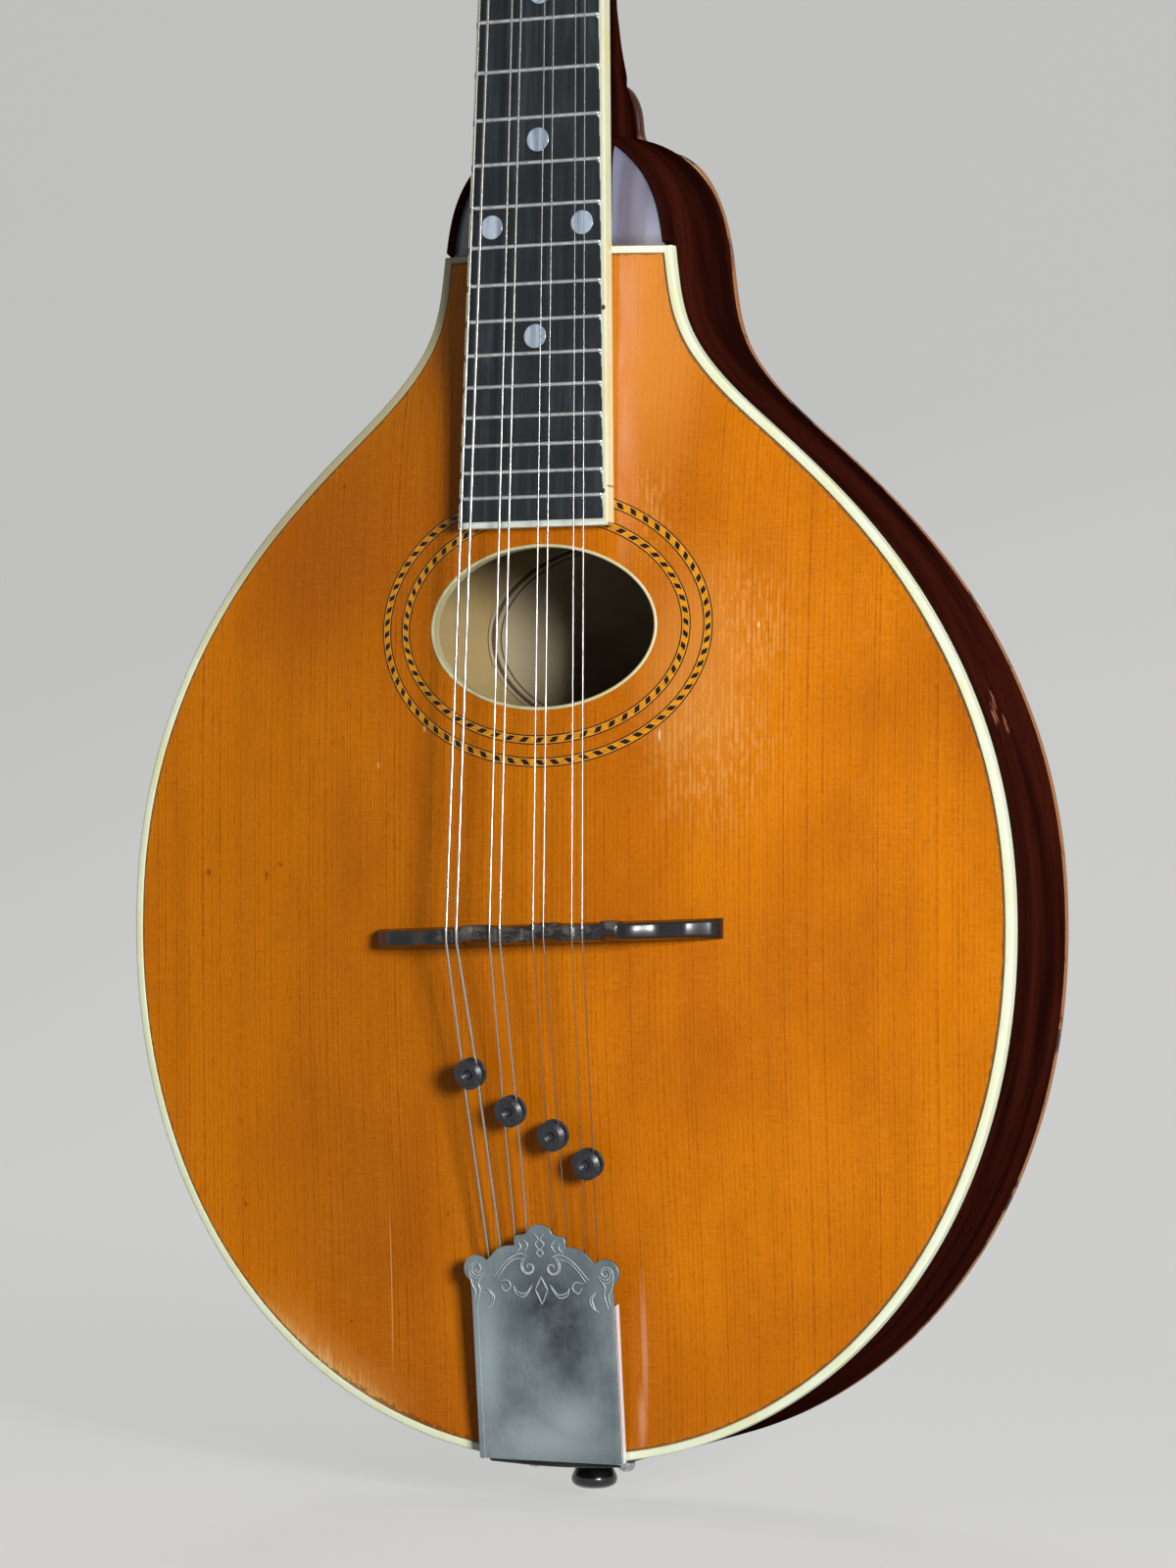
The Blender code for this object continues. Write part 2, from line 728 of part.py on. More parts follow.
def tail_block():
    half = tail_block_width / 2
    inner = body_loop(rib_wall + seat_gap)
    low = inner[:, 1].min()
    across = np.linspace(-1, 1, 9) * half
    edge = body_loop(rib_wall + seat_gap)
    lower = edge[edge[:, 1] < bout_line]
    lower = lower[np.argsort(lower[:, 0])]
    wall = np.interp(across, lower[:, 0], lower[:, 1])
    front = -(binding_depth + seat_gap)
    sections = []
    for x, start in zip(across, wall):
        heights = np.array([start, low + tail_block_length, low + tail_block_length, start])
        sections.append(at(x, heights, np.array([front, front, -rib_back, -rib_back])))
    return cut(sweep("tail_block", np.stack(sections), raw_spruce), tail_drills())


def lining(name, treble, front):
    """One side's lining strip, from the tail block to the head block."""
    inset = rib_wall + seat_gap
    outer = body_loop(inset, back=not front)
    inner = body_loop(inset + lining_width, back=not front)
    clear = tail_block_width / 2 + 0.001
    keep = (outer[:, 0] > clear) if treble else (outer[:, 0] < -clear)
    keep &= inner[:, 1] < neck_line - head_block_length - 0.001
    first = -(binding_depth + seat_gap) if front else -rib_back
    second = first - lining_depth if front else first + lining_depth
    outer = outer[keep]
    inner = inner[keep]
    bevel = inner + (outer - inner) * 0.6
    corners = [at(*outer.T, first), at(*outer.T, second), at(*bevel.T, second), at(*inner.T, first)]
    return sweep(name, np.stack(corners, axis=1), raw_spruce)


def brace():
    line = neck_line - brace_drop
    half = float(half_width(line)) - rib_wall - lining_width - 0.002
    sections = []
    for x in np.linspace(-1, 1, 9) * half:
        top = float(top_face(x, line)) - plate_wall - brace_gap
        tall = brace_depth * (1 - 0.55 * (abs(x) / half) ** 2)
        heights = np.array([-0.5, 0.5, 0.28, -0.28]) * brace_width + line
        sections.append(at(x, heights, np.array([top, top, top - tall, top - tall])))
    return sweep("top_brace", np.stack(sections), raw_spruce)


def label():
    """An oval paper label on the inside of the back, under the sound hole."""
    turn = np.linspace(0, 2 * math.pi, 20, endpoint=False)
    edge = np.stack([label_width / 2 * np.cos(turn), label_height / 2 * np.sin(turn)], axis=-1)
    rings = []
    for share in (1.0, 0.5, 0.0, 0.0, 0.5, 1.0):
        lift = label_wall if len(rings) > 2 else 0.0
        loop = edge * share + np.array([0.0, hole_line])
        rings.append(at(*loop.T, back_face(*loop.T) + plate_wall + label_gap + lift))
    return sweep("label", np.stack(rings, axis=1), aged_paper, closed=True)


def fingerboard():
    """One sweep up the neck, raised at each fret, its underside fitted to the crown of the top."""
    inner = board_binding_width + seat_gap
    start = board_end + inner
    stations = [(start, 0.0), (start + fret_width / 2, 0.0)]
    for number in range(fret_count, 0, -1):
        line = fret_line(number)
        stations += [(line - fret_width / 2, 0.0), (line, fret_height), (line + fret_width / 2, 0.0)]
    stations.append((-seat_gap, 0.0))
    joint = neck_line - cross_binding_width / 2
    stations += [(joint - seat_gap / 2, 0.0), (joint + seat_gap / 2, 0.0)]
    stations.sort()
    spread = np.array([1.0, 0.5, 0.0, -0.5, -1.0])
    sections = []
    for height, raise_by in stations:
        half = float(board_half(height)) - inner
        face = float(board_face(height)) + raise_by
        across = np.concatenate([[-half, half], spread * half])
        under = np.full(5, float(board_face(height)) - board_wall)
        if height < joint:
            under = top_face(spread * (half + inner), height) + board_clearance
        sections.append(at(across, height, np.concatenate([[face, face], under])))
    return sweep("fingerboard", np.stack(sections), black_wood)


def fingerboard_binding():
    wide = board_binding_width
    deep = board_wall - 0.0006
    rows = []
    for sign, heights in ((-1, (0.0 - seat_gap, board_end)), (1, (board_end, 0.0 - seat_gap))):
        for height in heights:
            half = float(board_half(height))
            inner = height + wide if height == board_end else height
            face = float(board_face(height))
            face_inner = float(board_face(inner))
            outer_x = sign * half
            inner_x = sign * (half - wide)
            rows.append(np.stack([at(outer_x, height, face), at(inner_x, inner, face_inner),
                                  at(inner_x, inner, face_inner - deep), at(outer_x, height, face - deep)]))
    return sweep("fingerboard_binding", np.stack(rows), cream_celluloid)


def nut():
    half = nut_width / 2
    base = float(board_face(0.0)) - board_wall + seat_gap
    top = float(board_face(0.0)) + nut_rise
    heights = np.array([0.0, nut_length, nut_length, nut_length * 0.55, 0.0])
    outs = np.array([base, base, top - 0.0022, top - 0.0002, top])
    sections = [at(x, heights, outs) for x in (-half, half)]
    return sweep("nut", np.stack(sections), bone)


def line_height(height):
    """Height of the strings out from the edge plane, by distance up the neck."""
    nut_level = float(board_face(0.0)) + nut_rise + seat_gap + 0.0003
    hook_line = tail_line + hook_inset
    marks = [hook_line, bridge_line, 0.0]
    levels = [string_height_at_hooks, string_height_at_bridge, nut_level]
    return np.interp(height, marks, levels)


def bridge():
    """A one-piece bridge: a slim foot along the top and a raised saddle under the strings."""
    half = bridge_length / 2
    saddle = saddle_half_length
    spots = [-half, -half * 0.8, -saddle * 1.16, -saddle, -saddle * 0.5, 0.0]
    spots += [saddle * 0.5, saddle, saddle * 1.16, half * 0.72, half * 0.86, half]
    sections = []
    for x in spots:
        middle = bridge_line + (x * math.tan(math.radians(bridge_turn)))
        across = x + bridge_shift
        foot = top_face(across, np.array([middle - bridge_wall / 2, middle + bridge_wall / 2])) + 0.0005
        if abs(x) <= saddle_half_length:
            face = string_height_at_bridge - string_radii[0] - seat_gap
        else:
            away = (abs(x) - saddle_half_length) / (half - saddle_half_length)
            low = float(foot.mean()) + bridge_foot_height
            face = low + (0.0225 - low) * (1 - away) ** 2.6 * 0.75
        heights = middle + np.array([-bridge_wall, bridge_wall, bridge_top_wall, -bridge_top_wall]) / 2
        sections.append(at(across, heights, np.array([foot[0], foot[1], face, face])))
    return sweep("bridge", np.stack(sections), black_wood)


def string_side(course, which):
    """Places of one string across the part: at its hook, its grommet, the bridge and the nut."""
    sign = -1 if which == 1 else 1
    return (course_at_hooks[course] + sign * pair_at_hooks / 2,
            course_at_bridge[course] + sign * pair_at_bridge / 2,
            course_at_nut[course] + sign * pair_at_nut / 2)


def grommet_place(course):
    crest_line = tail_line + cover_inset + cover_side_length + cover_crest
    height = bridge_line - grommet_shares[course] * (bridge_line - crest_line)
    hook_line = tail_line + hook_inset
    share = (bridge_line - height) / (bridge_line - hook_line)
    across = course_at_bridge[course] + (course_at_hooks[course] - course_at_bridge[course]) * share
    return across, height, float(line_height(height))


def string_post(course, which):
    """The tuner that a string winds on: outer courses low, inner courses high."""
    sign = -1 if course < 2 else 1
    outermost = which == (1 if sign < 0 else 2)
    number = (0 if course in (0, 3) else 2) + (0 if outermost else 1)
    return sign, first_tuner + number * tuner_spacing


def string_points(course, which):
    radius = string_radii[course]
    at_hook, at_bridge, at_nut = string_side(course, which)
    hook_line = tail_line + hook_inset
    level = string_height_at_hooks
    loop = hook_radius + radius + seat_gap
    points = [Vector(at(at_hook + loop, hook_line + 0.0024, level))]
    for angle in (0, -60, -120, -180):
        bend = math.radians(angle)
        points.append(Vector(at(at_hook + loop * math.cos(bend), hook_line + loop * math.sin(bend), level)))
    joint = hook_line + 0.0060
    points.append(Vector(at(at_hook - 0.0003, joint, float(line_height(joint)))))
    place, height, lift = grommet_place(course)
    sign = -1 if which == 1 else 1
    aside = grommet_groove + radius + turn_gap
    for step in (-0.0012, 0.0012):
        points.append(Vector(at(place + sign * aside, height + step, float(line_height(height + step)))))
    crossing = bridge_line + at_bridge * math.tan(math.radians(bridge_turn))
    top = string_height_at_bridge
    points.append(Vector(at(at_bridge, crossing - 0.0012, top - 0.0001)))
    points.append(Vector(at(at_bridge, crossing + 0.0012, top)))
    over = float(board_face(0.0)) + nut_rise + seat_gap + radius
    points.append(Vector(at(at_nut, 0.0005, over)))
    points.append(Vector(at(at_nut, nut_length * 0.6, over)))
    side, along = string_post(course, which)
    wrap = post_radius + radius + turn_gap
    climb = 2 * radius + 0.0005
    top_turn = 0.0095
    first = math.pi if side > 0 else 0.0
    turn_sign = -1 if side > 0 else 1
    total = int(wrap_count * wrap_points)
    entry = Vector((side * post_side + wrap * math.cos(first), along - 0.0010, 0.0))
    points.append(head_place(entry.x, entry.y, top_turn))
    for step in range(total + 1):
        turn = first + turn_sign * 2 * math.pi * step / wrap_points
        across = side * post_side + wrap * math.cos(turn)
        lift = top_turn - climb * step / wrap_points
        points.append(head_place(across, along + wrap * math.sin(turn), lift))
    return points


def least_self_gap(points, radius):
    """Least clear distance between stretches of one tube that aren't neighbours."""
    dense = []
    for start, end in zip(points, points[1:]):
        steps = max(1, int((end - start).length / 0.0004))
        dense += [start.lerp(end, i / steps) for i in range(steps)]
    dense = np.array([tuple(point) for point in dense])
    run = np.concatenate([[0], np.cumsum(np.linalg.norm(np.diff(dense, axis=0), axis=1))])
    least = 1.0
    for i in range(0, len(dense)):
        apart = run[i + 1:] - run[i] > 8 * radius + 0.004
        if apart.any():
            far = np.linalg.norm(dense[i + 1:][apart] - dense[i], axis=1)
            least = min(least, float(far.min()))
    return least - 2 * radius


def string(course, which):
    name = f"string_{course_names[course]}{which}"
    points = string_points(course, which)
    curve = bpy.data.curves.new(name, "CURVE")
    curve.dimensions = "3D"
    curve.bevel_depth = string_radii[course]
    curve.bevel_resolution = 1
    curve.use_fill_caps = True
    spline = curve.splines.new("POLY")
    spline.points.add(len(points) - 1)
    for knot, point in zip(spline.points, points):
        knot.co = (*point, 1.0)
    obj = bpy.data.objects.new(name, curve)
    parts.objects.link(obj)
    print(name, "least gap to itself, mm:", round(least_self_gap(points, string_radii[course]) * 1000, 2))
    return as_mesh(obj, bronze_wire if course < 2 else steel_wire)


def grommet(course):
    across, height, lift = grommet_place(course)
    half = grommet_wall / 2
    waist = grommet_groove
    groove = string_radii[0] + 0.0006
    rim = grommet_radius
    profile = [(0.0, half - 0.0008), (0.0016, half), (rim - 0.0010, half), (rim, half - 0.0010),
               (rim, groove + 0.0001), (waist, groove), (waist, -groove), (rim, -groove - 0.0001),
               (rim, -half + 0.0008), (rim - 0.0010, -half), (0.0, -half)]
    obj = turned(f"grommet_{course_names[course]}", profile, 12, black_rubber)
    climb = string_height_at_bridge - string_height_at_hooks
    rise = math.atan(climb / (bridge_line - tail_line - hook_inset))
    obj.rotation_euler = (math.radians(90) + rise, 0.0, 0.0)
    obj.location = Vector(at(across, height, lift))
    return obj


def arc(centre, radius, start, end, count):
    steps = np.radians(np.linspace(start, end, count))
    return [(centre[0] + radius * math.cos(a), centre[1] + radius * math.sin(a)) for a in steps]


def sloped(slope):
    """Axes of a plate on the top that rises towards the bridge: Y along it, Z out of its face."""
    sine, cosine = math.sin(math.atan(slope)), math.cos(math.atan(slope))
    return Matrix(((1, 0, 0), (0, -sine, -cosine), (0, cosine, -sine))).to_4x4()


def cover_frame():
    """The cover's own axes: X across, Y along its slope to the bridge, Z out of its face."""
    place = Vector(at(0.0, tail_line + cover_inset, cover_lift))
    return Matrix.Translation(place) @ sloped(cover_slope)


def tailpiece_cover():
    """A stamped cover: straight sides with flanges, two round ears, shoulders and a crest."""
    half = cover_width / 2
    run = cover_side_length
    side = [(half, 0.0), (half, run)]
    side += arc((half - cover_ear_inset, run + cover_ear_rise), cover_ear_radius, -55, 150, 8)
    side += arc((half - cover_shoulder_inset, run + cover_shoulder_rise), cover_shoulder_radius, 20, 100, 4)
    side += arc((cover_knob_side, run + cover_knob_rise), cover_knob_radius, 0, 80, 3)
    side += arc((0.0, run + cover_bell_rise), cover_bell_radius, 35, 75, 2)
    outline = side + [(0.0, run + cover_crest)] + [(-x, y) for x, y in reversed(side)]
    obj = flat_outline("tailpiece_cover", outline, -cover_sheet, 0.0, nickel)
    for sign in (-1, 1):
        outer = sign * half
        inner = sign * (half - cover_sheet)
        low = (min(outer, inner), 0.0002, -cover_flange)
        high = (max(outer, inner), run - 0.0002, -cover_sheet * 0.4)
        join(obj, box(f"flange_{'left' if sign < 0 else 'right'}", low, high))
    place = cover_frame()
    obj.matrix_world = place
    for change in obj.modifiers:
        change.object.matrix_world = place
    return obj


def base_frame():
    return Matrix.Translation(Vector(at(0.0, tail_line, base_sheet + seat_gap))) @ sloped(base_slope)


def tailpiece_base():
    """A plate under the cover with eight hooks, bent down over the end of the body."""
    half = cover_width / 2 - cover_sheet - 0.0006
    obj = box("tailpiece_base", (-half, -0.0010, -base_sheet), (half, base_length, 0.0), nickel, parts)
    place = base_frame()
    obj.matrix_world = place
    hook_line = hook_inset
    pegs = bmesh.new()
    for course in range(4):
        for which in (1, 2):
            made = bmesh.ops.create_cone(pegs, cap_ends=True, segments=6, radius1=hook_radius,
                                         radius2=hook_radius, depth=hook_height + 0.0004)
            spot = (string_side(course, which)[0], hook_line, hook_height / 2 - 0.0002)
            bmesh.ops.translate(pegs, vec=spot, verts=made["verts"])
    hooks = add_mesh("hooks", pegs, None, cutters)
    hooks.matrix_world = place
    join(obj, hooks)
    for sign in (-1, 1):
        outer = sign * (cover_width / 2 - cover_sheet - turn_gap)
        inner = outer - sign * base_sheet
        sections = []
        for run in (rail_start, rail_end):
            under = cover_lift + cover_slope * (run - cover_inset) - cover_sheet - turn_gap
            floor = base_slope * run + base_sheet * 0.6
            sections.append(at(np.array([inner, outer, outer, inner]), tail_line + run,
                               np.array([floor, floor, under, under])))
        rail = f"rail_{'left' if sign < 0 else 'right'}"
        join(obj, sweep(rail, np.stack(sections), None, collection=cutters))
    sections = []
    for x in np.linspace(-0.5, 0.5, 9) * bracket_width:
        edge = tail_edge(x) - seat_gap
        heights = np.array([edge, edge, edge - base_sheet, edge - base_sheet])
        sections.append(at(x, heights, np.array([base_sheet, -bracket_depth, -bracket_depth, base_sheet])))
    join(obj, sweep("bracket_leg", np.stack(sections), None, collection=cutters))
    return cut(obj, tail_drills())


def screw(side):
    sign = -1 if side == "bass" else 1
    head = screw_head_radius
    tall = screw_head_height
    profile = [(0.0, tall), (head * 0.5, tall * 0.9), (head * 0.88, tall * 0.55), (head, 0.0),
               (screw_radius, 0.0), (screw_radius, -screw_length + 0.002), (0.0, -screw_length)]
    obj = turned(f"bracket_screw_{side}", profile, 8, nickel)
    lean = tail_angle(sign * screw_side)
    out = 2 * seat_gap + base_sheet
    obj.rotation_euler = (math.pi, -lean, 0.0)
    obj.location = (sign * screw_side + out * math.sin(lean), screw_depth,
                    tail_edge(screw_side) - out * math.cos(lean))
    return obj


def end_pin():
    button = pin_button_radius
    waist = pin_radius + 0.0008
    profile = [(0.0, pin_reach), (button * 0.62, pin_reach), (button * 0.93, pin_reach - 0.0010),
               (button, pin_reach - 0.0026), (button * 0.86, pin_reach - 0.0046), (waist, 0.0016),
               (waist + 0.0006, 0.0), (pin_radius, 0.0), (pin_radius - 0.0004, -pin_length),
               (0.0, -pin_length)]
    obj = turned("end_pin", profile, 14, black_wood)
    obj.rotation_euler = (math.pi, 0.0, 0.0)
    obj.location = (0.0, pin_depth, tail_line - 2 * seat_gap - base_sheet)
    return obj


def tuner_plate(side):
    """A back plate for four tuners, with a pair of lugs for each worm shaft."""
    sign = -1 if side == "bass" else 1
    low = first_tuner - 0.0090
    high = first_tuner + 3 * tuner_spacing + 0.0130
    half = plate_width / 2
    middle = sign * post_side
    obj = box(f"tuner_plate_{side}", (middle - half, low, plate_top - plate_sheet),
              (middle + half, high, plate_top), brass, parts)
    place = head_frame()
    obj.matrix_world = place
    lugs = bmesh.new()
    drills = bmesh.new()
    reach = worm_length / 2 + turn_gap
    drop = worm_lift - shaft_radius - 0.0013
    sideways = Matrix.Rotation(math.pi / 2, 4, "Y")
    foot = post_radius - 0.0008 + turn_gap
    for name, way, along in tuner_places():
        if way != sign:
            continue
        line = along + worm_offset
        for end in (-1, 1):
            made = bmesh.ops.create_cube(lugs, size=1.0)
            size = Vector((lug_wall, 2 * shaft_radius + 0.0026, plate_top - 0.0002 - drop))
            bmesh.ops.scale(lugs, vec=size, verts=made["verts"])
            spot = (middle + end * (reach + lug_wall / 2), line, (plate_top - 0.0002 + drop) / 2)
            bmesh.ops.translate(lugs, vec=spot, verts=made["verts"])
        made = bmesh.ops.create_cone(drills, cap_ends=True, segments=8, radius1=shaft_radius + turn_gap,
                                     radius2=shaft_radius + turn_gap, depth=2 * (reach + lug_wall) + 0.002)
        bmesh.ops.transform(drills, verts=made["verts"],
                            matrix=Matrix.Translation((middle, line, worm_lift)) @ sideways)
        made = bmesh.ops.create_cone(drills, cap_ends=True, segments=8, radius1=foot, radius2=foot,
                                     depth=5 * plate_sheet)
        bmesh.ops.translate(drills, vec=(middle, along, plate_top - plate_sheet / 2), verts=made["verts"])
    lug_block = add_mesh(f"lugs_{side}", lugs, None, cutters)
    drill_block = add_mesh(f"plate_drills_{side}", drills, None, cutters)
    lug_block.matrix_world = place
    drill_block.matrix_world = place
    join(obj, lug_block)
    return cut(obj, drill_block)


def tuner_post(name, sign, along):
    """A string post with its gear, turning on its own axis."""
    top = post_height
    neck_radius = post_radius - 0.0008
    foot = gear_top - gear_wall - 0.0006
    profile = [(0.0, top), (post_radius - 0.0006, top), (post_radius, top - 0.0008),
               (post_radius, plate_top + 0.0001), (neck_radius, plate_top), (neck_radius, foot),
               (0.0, foot)]
    obj = turned(f"tuner_post_{name}", profile, 8, brass)
    root = gear_pitch_radius - tooth_dedendum
    tip = gear_pitch_radius + tooth_addendum
    half_root = tooth_width * 0.72 / root
    lead = math.atan(gear_pitch_radius / gear_teeth / worm_pitch_radius)
    twist = gear_wall * math.tan(lead) / gear_pitch_radius
    sections = []
    for level, turn in ((gear_top, twist / 2), (gear_top - gear_wall, -twist / 2)):
        loop = []
        for tooth in range(gear_teeth):
            middle = math.pi / 2 + 2 * math.pi * tooth / gear_teeth + turn * sign
            for radius, spread in ((root, -half_root), (tip, 0.0), (root, half_root)):
                angle = middle + spread
                loop.append((radius * math.cos(angle), radius * math.sin(angle), level))
        sections.append(loop)
    gear = sweep(f"gear_{name}", np.array(sections), None, collection=cutters)
    place = head_frame() @ Matrix.Translation((sign * post_side, along, 0.0))
    obj.matrix_world = place
    gear.matrix_world = place
    return join(obj, gear)


def tuner_key(name, sign, along):
    """A worm shaft with its button, turning across the headstock. Its own Z points outward."""
    half = worm_length / 2
    reach = half + turn_gap + lug_wall + 0.0008
    edge = head_upper_width / 2 - post_side
    stem = edge + key_reach - key_button_height * 0.3
    profile = [(0.0, stem), (shaft_radius + 0.0006, stem), (shaft_radius + 0.0008, edge + 0.0042),
               (shaft_radius, edge + 0.0036), (shaft_radius, half), (worm_root_radius, half),
               (worm_root_radius, -half), (shaft_radius, -half), (shaft_radius, -reach), (0.0, -reach)]
    obj = turned(f"tuner_key_{name}", profile, 8, ivoroid)
    button = bmesh.new()
    bmesh.ops.create_uvsphere(button, u_segments=8, v_segments=5, radius=0.5)
    bmesh.ops.scale(button, vec=(key_button_width, key_button_wall, key_button_height), verts=button.verts)
    bmesh.ops.translate(button, vec=(0.0, 0.0, edge + key_reach), verts=button.verts)
    knob = add_mesh(f"button_{name}", button, None, cutters)
    turn = Matrix.Rotation(sign * math.pi / 2, 4, "Y")
    place = head_frame() @ Matrix.Translation((sign * post_side, along + worm_offset, worm_lift)) @ turn
    obj.matrix_world = place
    knob.matrix_world = place
    return join(obj, knob)


soundboard()
hole_ring("soundhole_binding", 0.0, hole_binding_width, -plate_wall, 0.0, cream_celluloid)
hole_ring("rosette_inner", inner_inlay_offset, inlay_width, -inlay_depth, 0.0, rope_inlay)
hole_ring("rosette_outer", outer_inlay_offset, inlay_width, -inlay_depth, 0.0, rope_inlay)
back_plate()
ribs()
top_binding()
head_block()
tail_block()
for side_name, is_treble in (("bass", False), ("treble", True)):
    lining(f"lining_front_{side_name}", is_treble, True)
    lining(f"lining_back_{side_name}", is_treble, False)
brace()
label()
neck()
headstock_veneer()
fingerboard()
fingerboard_binding()
nut()
bridge()
tailpiece_base()
tailpiece_cover()
screw("bass")
screw("treble")
end_pin()
for course in range(4):
    grommet(course)
    for which in (1, 2):
        string(course, which)
tuner_plate("bass")
tuner_plate("treble")
for tuner_name, tuner_sign, tuner_along in tuner_places():
    tuner_post(tuner_name, tuner_sign, tuner_along)
    tuner_key(tuner_name, tuner_sign, tuner_along)
bpy.context.view_layer.update()
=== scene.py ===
import math
import bpy
import numpy as np
from mathutils import Matrix, Vector


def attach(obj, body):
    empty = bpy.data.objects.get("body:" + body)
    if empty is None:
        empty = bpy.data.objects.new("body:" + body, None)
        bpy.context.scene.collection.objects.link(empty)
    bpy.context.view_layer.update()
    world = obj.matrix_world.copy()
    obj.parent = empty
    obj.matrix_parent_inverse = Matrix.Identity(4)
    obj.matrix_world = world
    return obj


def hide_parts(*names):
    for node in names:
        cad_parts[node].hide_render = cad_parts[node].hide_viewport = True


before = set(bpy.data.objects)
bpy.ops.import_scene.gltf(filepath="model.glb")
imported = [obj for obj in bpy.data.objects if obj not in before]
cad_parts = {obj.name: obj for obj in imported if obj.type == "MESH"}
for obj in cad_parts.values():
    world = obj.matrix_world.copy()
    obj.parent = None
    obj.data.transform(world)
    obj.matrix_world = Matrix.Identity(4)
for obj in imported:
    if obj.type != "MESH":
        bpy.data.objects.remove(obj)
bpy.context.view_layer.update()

# X runs to the thin strings' side, Z up the neck, and the top faces -Y. Heights start at the nut line.

# Camera, lamps and floor

camera = dict(place=(0.5248, -1.1572, -0.3387), forward=(-0.4071, 0.9132, 0.0185),
              up=(0.0079, -0.0167, 0.9998), lens=112.2, sensor=36.0)
studio = dict(floor=-0.5035, floorColour=(0.28, 0.28, 0.277), floorGlow=0.49, bend=1.0, bendRadius=1.6,
              skyColour=(0.60, 0.60, 0.595), fillLight=0.040,
              keyPlace=(0.96, -0.92, -0.17), keySize=0.28, keyPower=20.9,
              sidePlace=(-1.50, -1.10, 0.25), sideSize=1.2, sidePower=0.5,
              backPlace=(-0.75, 1.45, 0.85), backSize=0.8, backPower=7.0)


def makeCamera():
    data = bpy.data.cameras.new("camera")
    data.sensor_fit = "VERTICAL"
    data.sensor_height = camera["sensor"]
    data.lens = camera["lens"]
    obj = bpy.data.objects.new("camera", data)
    bpy.context.scene.collection.objects.link(obj)
    back = -Vector(camera["forward"]).normalized()
    right = Vector(camera["up"]).cross(back).normalized()
    up = back.cross(right)
    turn = Matrix((right, up, back)).transposed().to_4x4()
    obj.matrix_world = Matrix.Translation(camera["place"]) @ turn
    bpy.context.scene.camera = obj


def makeLamp(name, place, size, power, colour):
    data = bpy.data.lights.new(name, "AREA")
    data.shape = "SQUARE"
    data.size = size
    data.energy = power
    data.color = colour
    obj = bpy.data.objects.new(name, data)
    bpy.context.scene.collection.objects.link(obj)
    aim = Vector((0.0, 0.0, -0.30)) - Vector(place)
    obj.location = place
    obj.rotation_euler = aim.to_track_quat("-Z", "Y").to_euler()
    obj.visible_camera = False


makeCamera()
makeLamp("key", studio["keyPlace"], studio["keySize"], studio["keyPower"], (1.0, 0.985, 0.96))
makeLamp("side", studio["sidePlace"], studio["sideSize"], studio["sidePower"], (0.96, 0.98, 1.0))
makeLamp("back", studio["backPlace"], studio["backSize"], studio["backPower"], (1.0, 0.98, 0.95))
bpy.context.scene.view_settings.view_transform = "Standard"
print("camera and lamps set")


# Small tools for node materials. A socket or a plain value can be given wherever a value is wanted.

def feed(tree, source, socket):
    if isinstance(source, bpy.types.NodeSocket):
        tree.links.new(source, socket)
    else:
        socket.default_value = source


def node(tree, kind, inputs=(), **settings):
    made = tree.nodes.new(kind)
    for key, value in settings.items():
        setattr(made, key, value)
    for key, source in dict(inputs).items():
        feed(tree, source, made.inputs[key])
    return made


def calc(tree, operation, a, b=0.0, c=0.0, clamp=False):
    made = node(tree, "ShaderNodeMath", {0: a, 1: b, 2: c}, operation=operation, use_clamp=clamp)
    return made.outputs[0]


def mix(tree, amount, a, b, kind="MIX"):
    made = node(tree, "ShaderNodeMix", data_type="RGBA", blend_type=kind, clamp_factor=True)
    feed(tree, amount, made.inputs[0])
    feed(tree, colour4(a), made.inputs[6])
    feed(tree, colour4(b), made.inputs[7])
    return made.outputs[2]


def colour4(value):
    return (*value, 1.0) if isinstance(value, tuple) and len(value) == 3 else value


def step(tree, value, low, high):
    made = node(tree, "ShaderNodeMapRange", {"Value": value, "From Min": low, "From Max": high},
                interpolation_type="SMOOTHSTEP", clamp=True)
    return made.outputs[0]


def objectPlace(tree):
    return node(tree, "ShaderNodeTexCoord").outputs["Object"]


def surfacePlace(tree):
    return node(tree, "ShaderNodeTexCoord").outputs["UV"]


def stretch(tree, vector, scale, place=(0, 0, 0), turn=(0, 0, 0)):
    made = node(tree, "ShaderNodeMapping", {"Vector": vector, "Location": place, "Rotation": turn, "Scale": scale})
    return made.outputs[0]


def noise(tree, vector, scale=1.0, detail=2.0, roughness=0.5, distortion=0.0):
    made = node(tree, "ShaderNodeTexNoise", {"Vector": vector, "Scale": scale, "Detail": detail,
                                             "Roughness": roughness, "Distortion": distortion})
    return made.outputs[0]


def split(tree, vector):
    return node(tree, "ShaderNodeSeparateXYZ", {0: vector}).outputs


def spot(tree, place, centre, size, soft=0.5):
    # 1 inside an ellipse in X and Z, falling smoothly to 0 at its edge: step(1 - length((p - centre) / size))
    x = calc(tree, "DIVIDE", calc(tree, "SUBTRACT", place[0], centre[0]), size[0])
    z = calc(tree, "DIVIDE", calc(tree, "SUBTRACT", place[2], centre[1]), size[1])
    far = calc(tree, "SQRT", calc(tree, "ADD", calc(tree, "MULTIPLY", x, x), calc(tree, "MULTIPLY", z, z)))
    return step(tree, far, 1.0, 1.0 - soft)


def spots(tree, place, rows, soft=0.5):
    # The greatest of several such ellipses, each row being its x, z and half sizes
    amount = spot(tree, place, rows[0][:2], rows[0][2:], soft)
    for row in rows[1:]:
        amount = calc(tree, "MAXIMUM", amount, spot(tree, place, row[:2], row[2:], soft))
    return amount


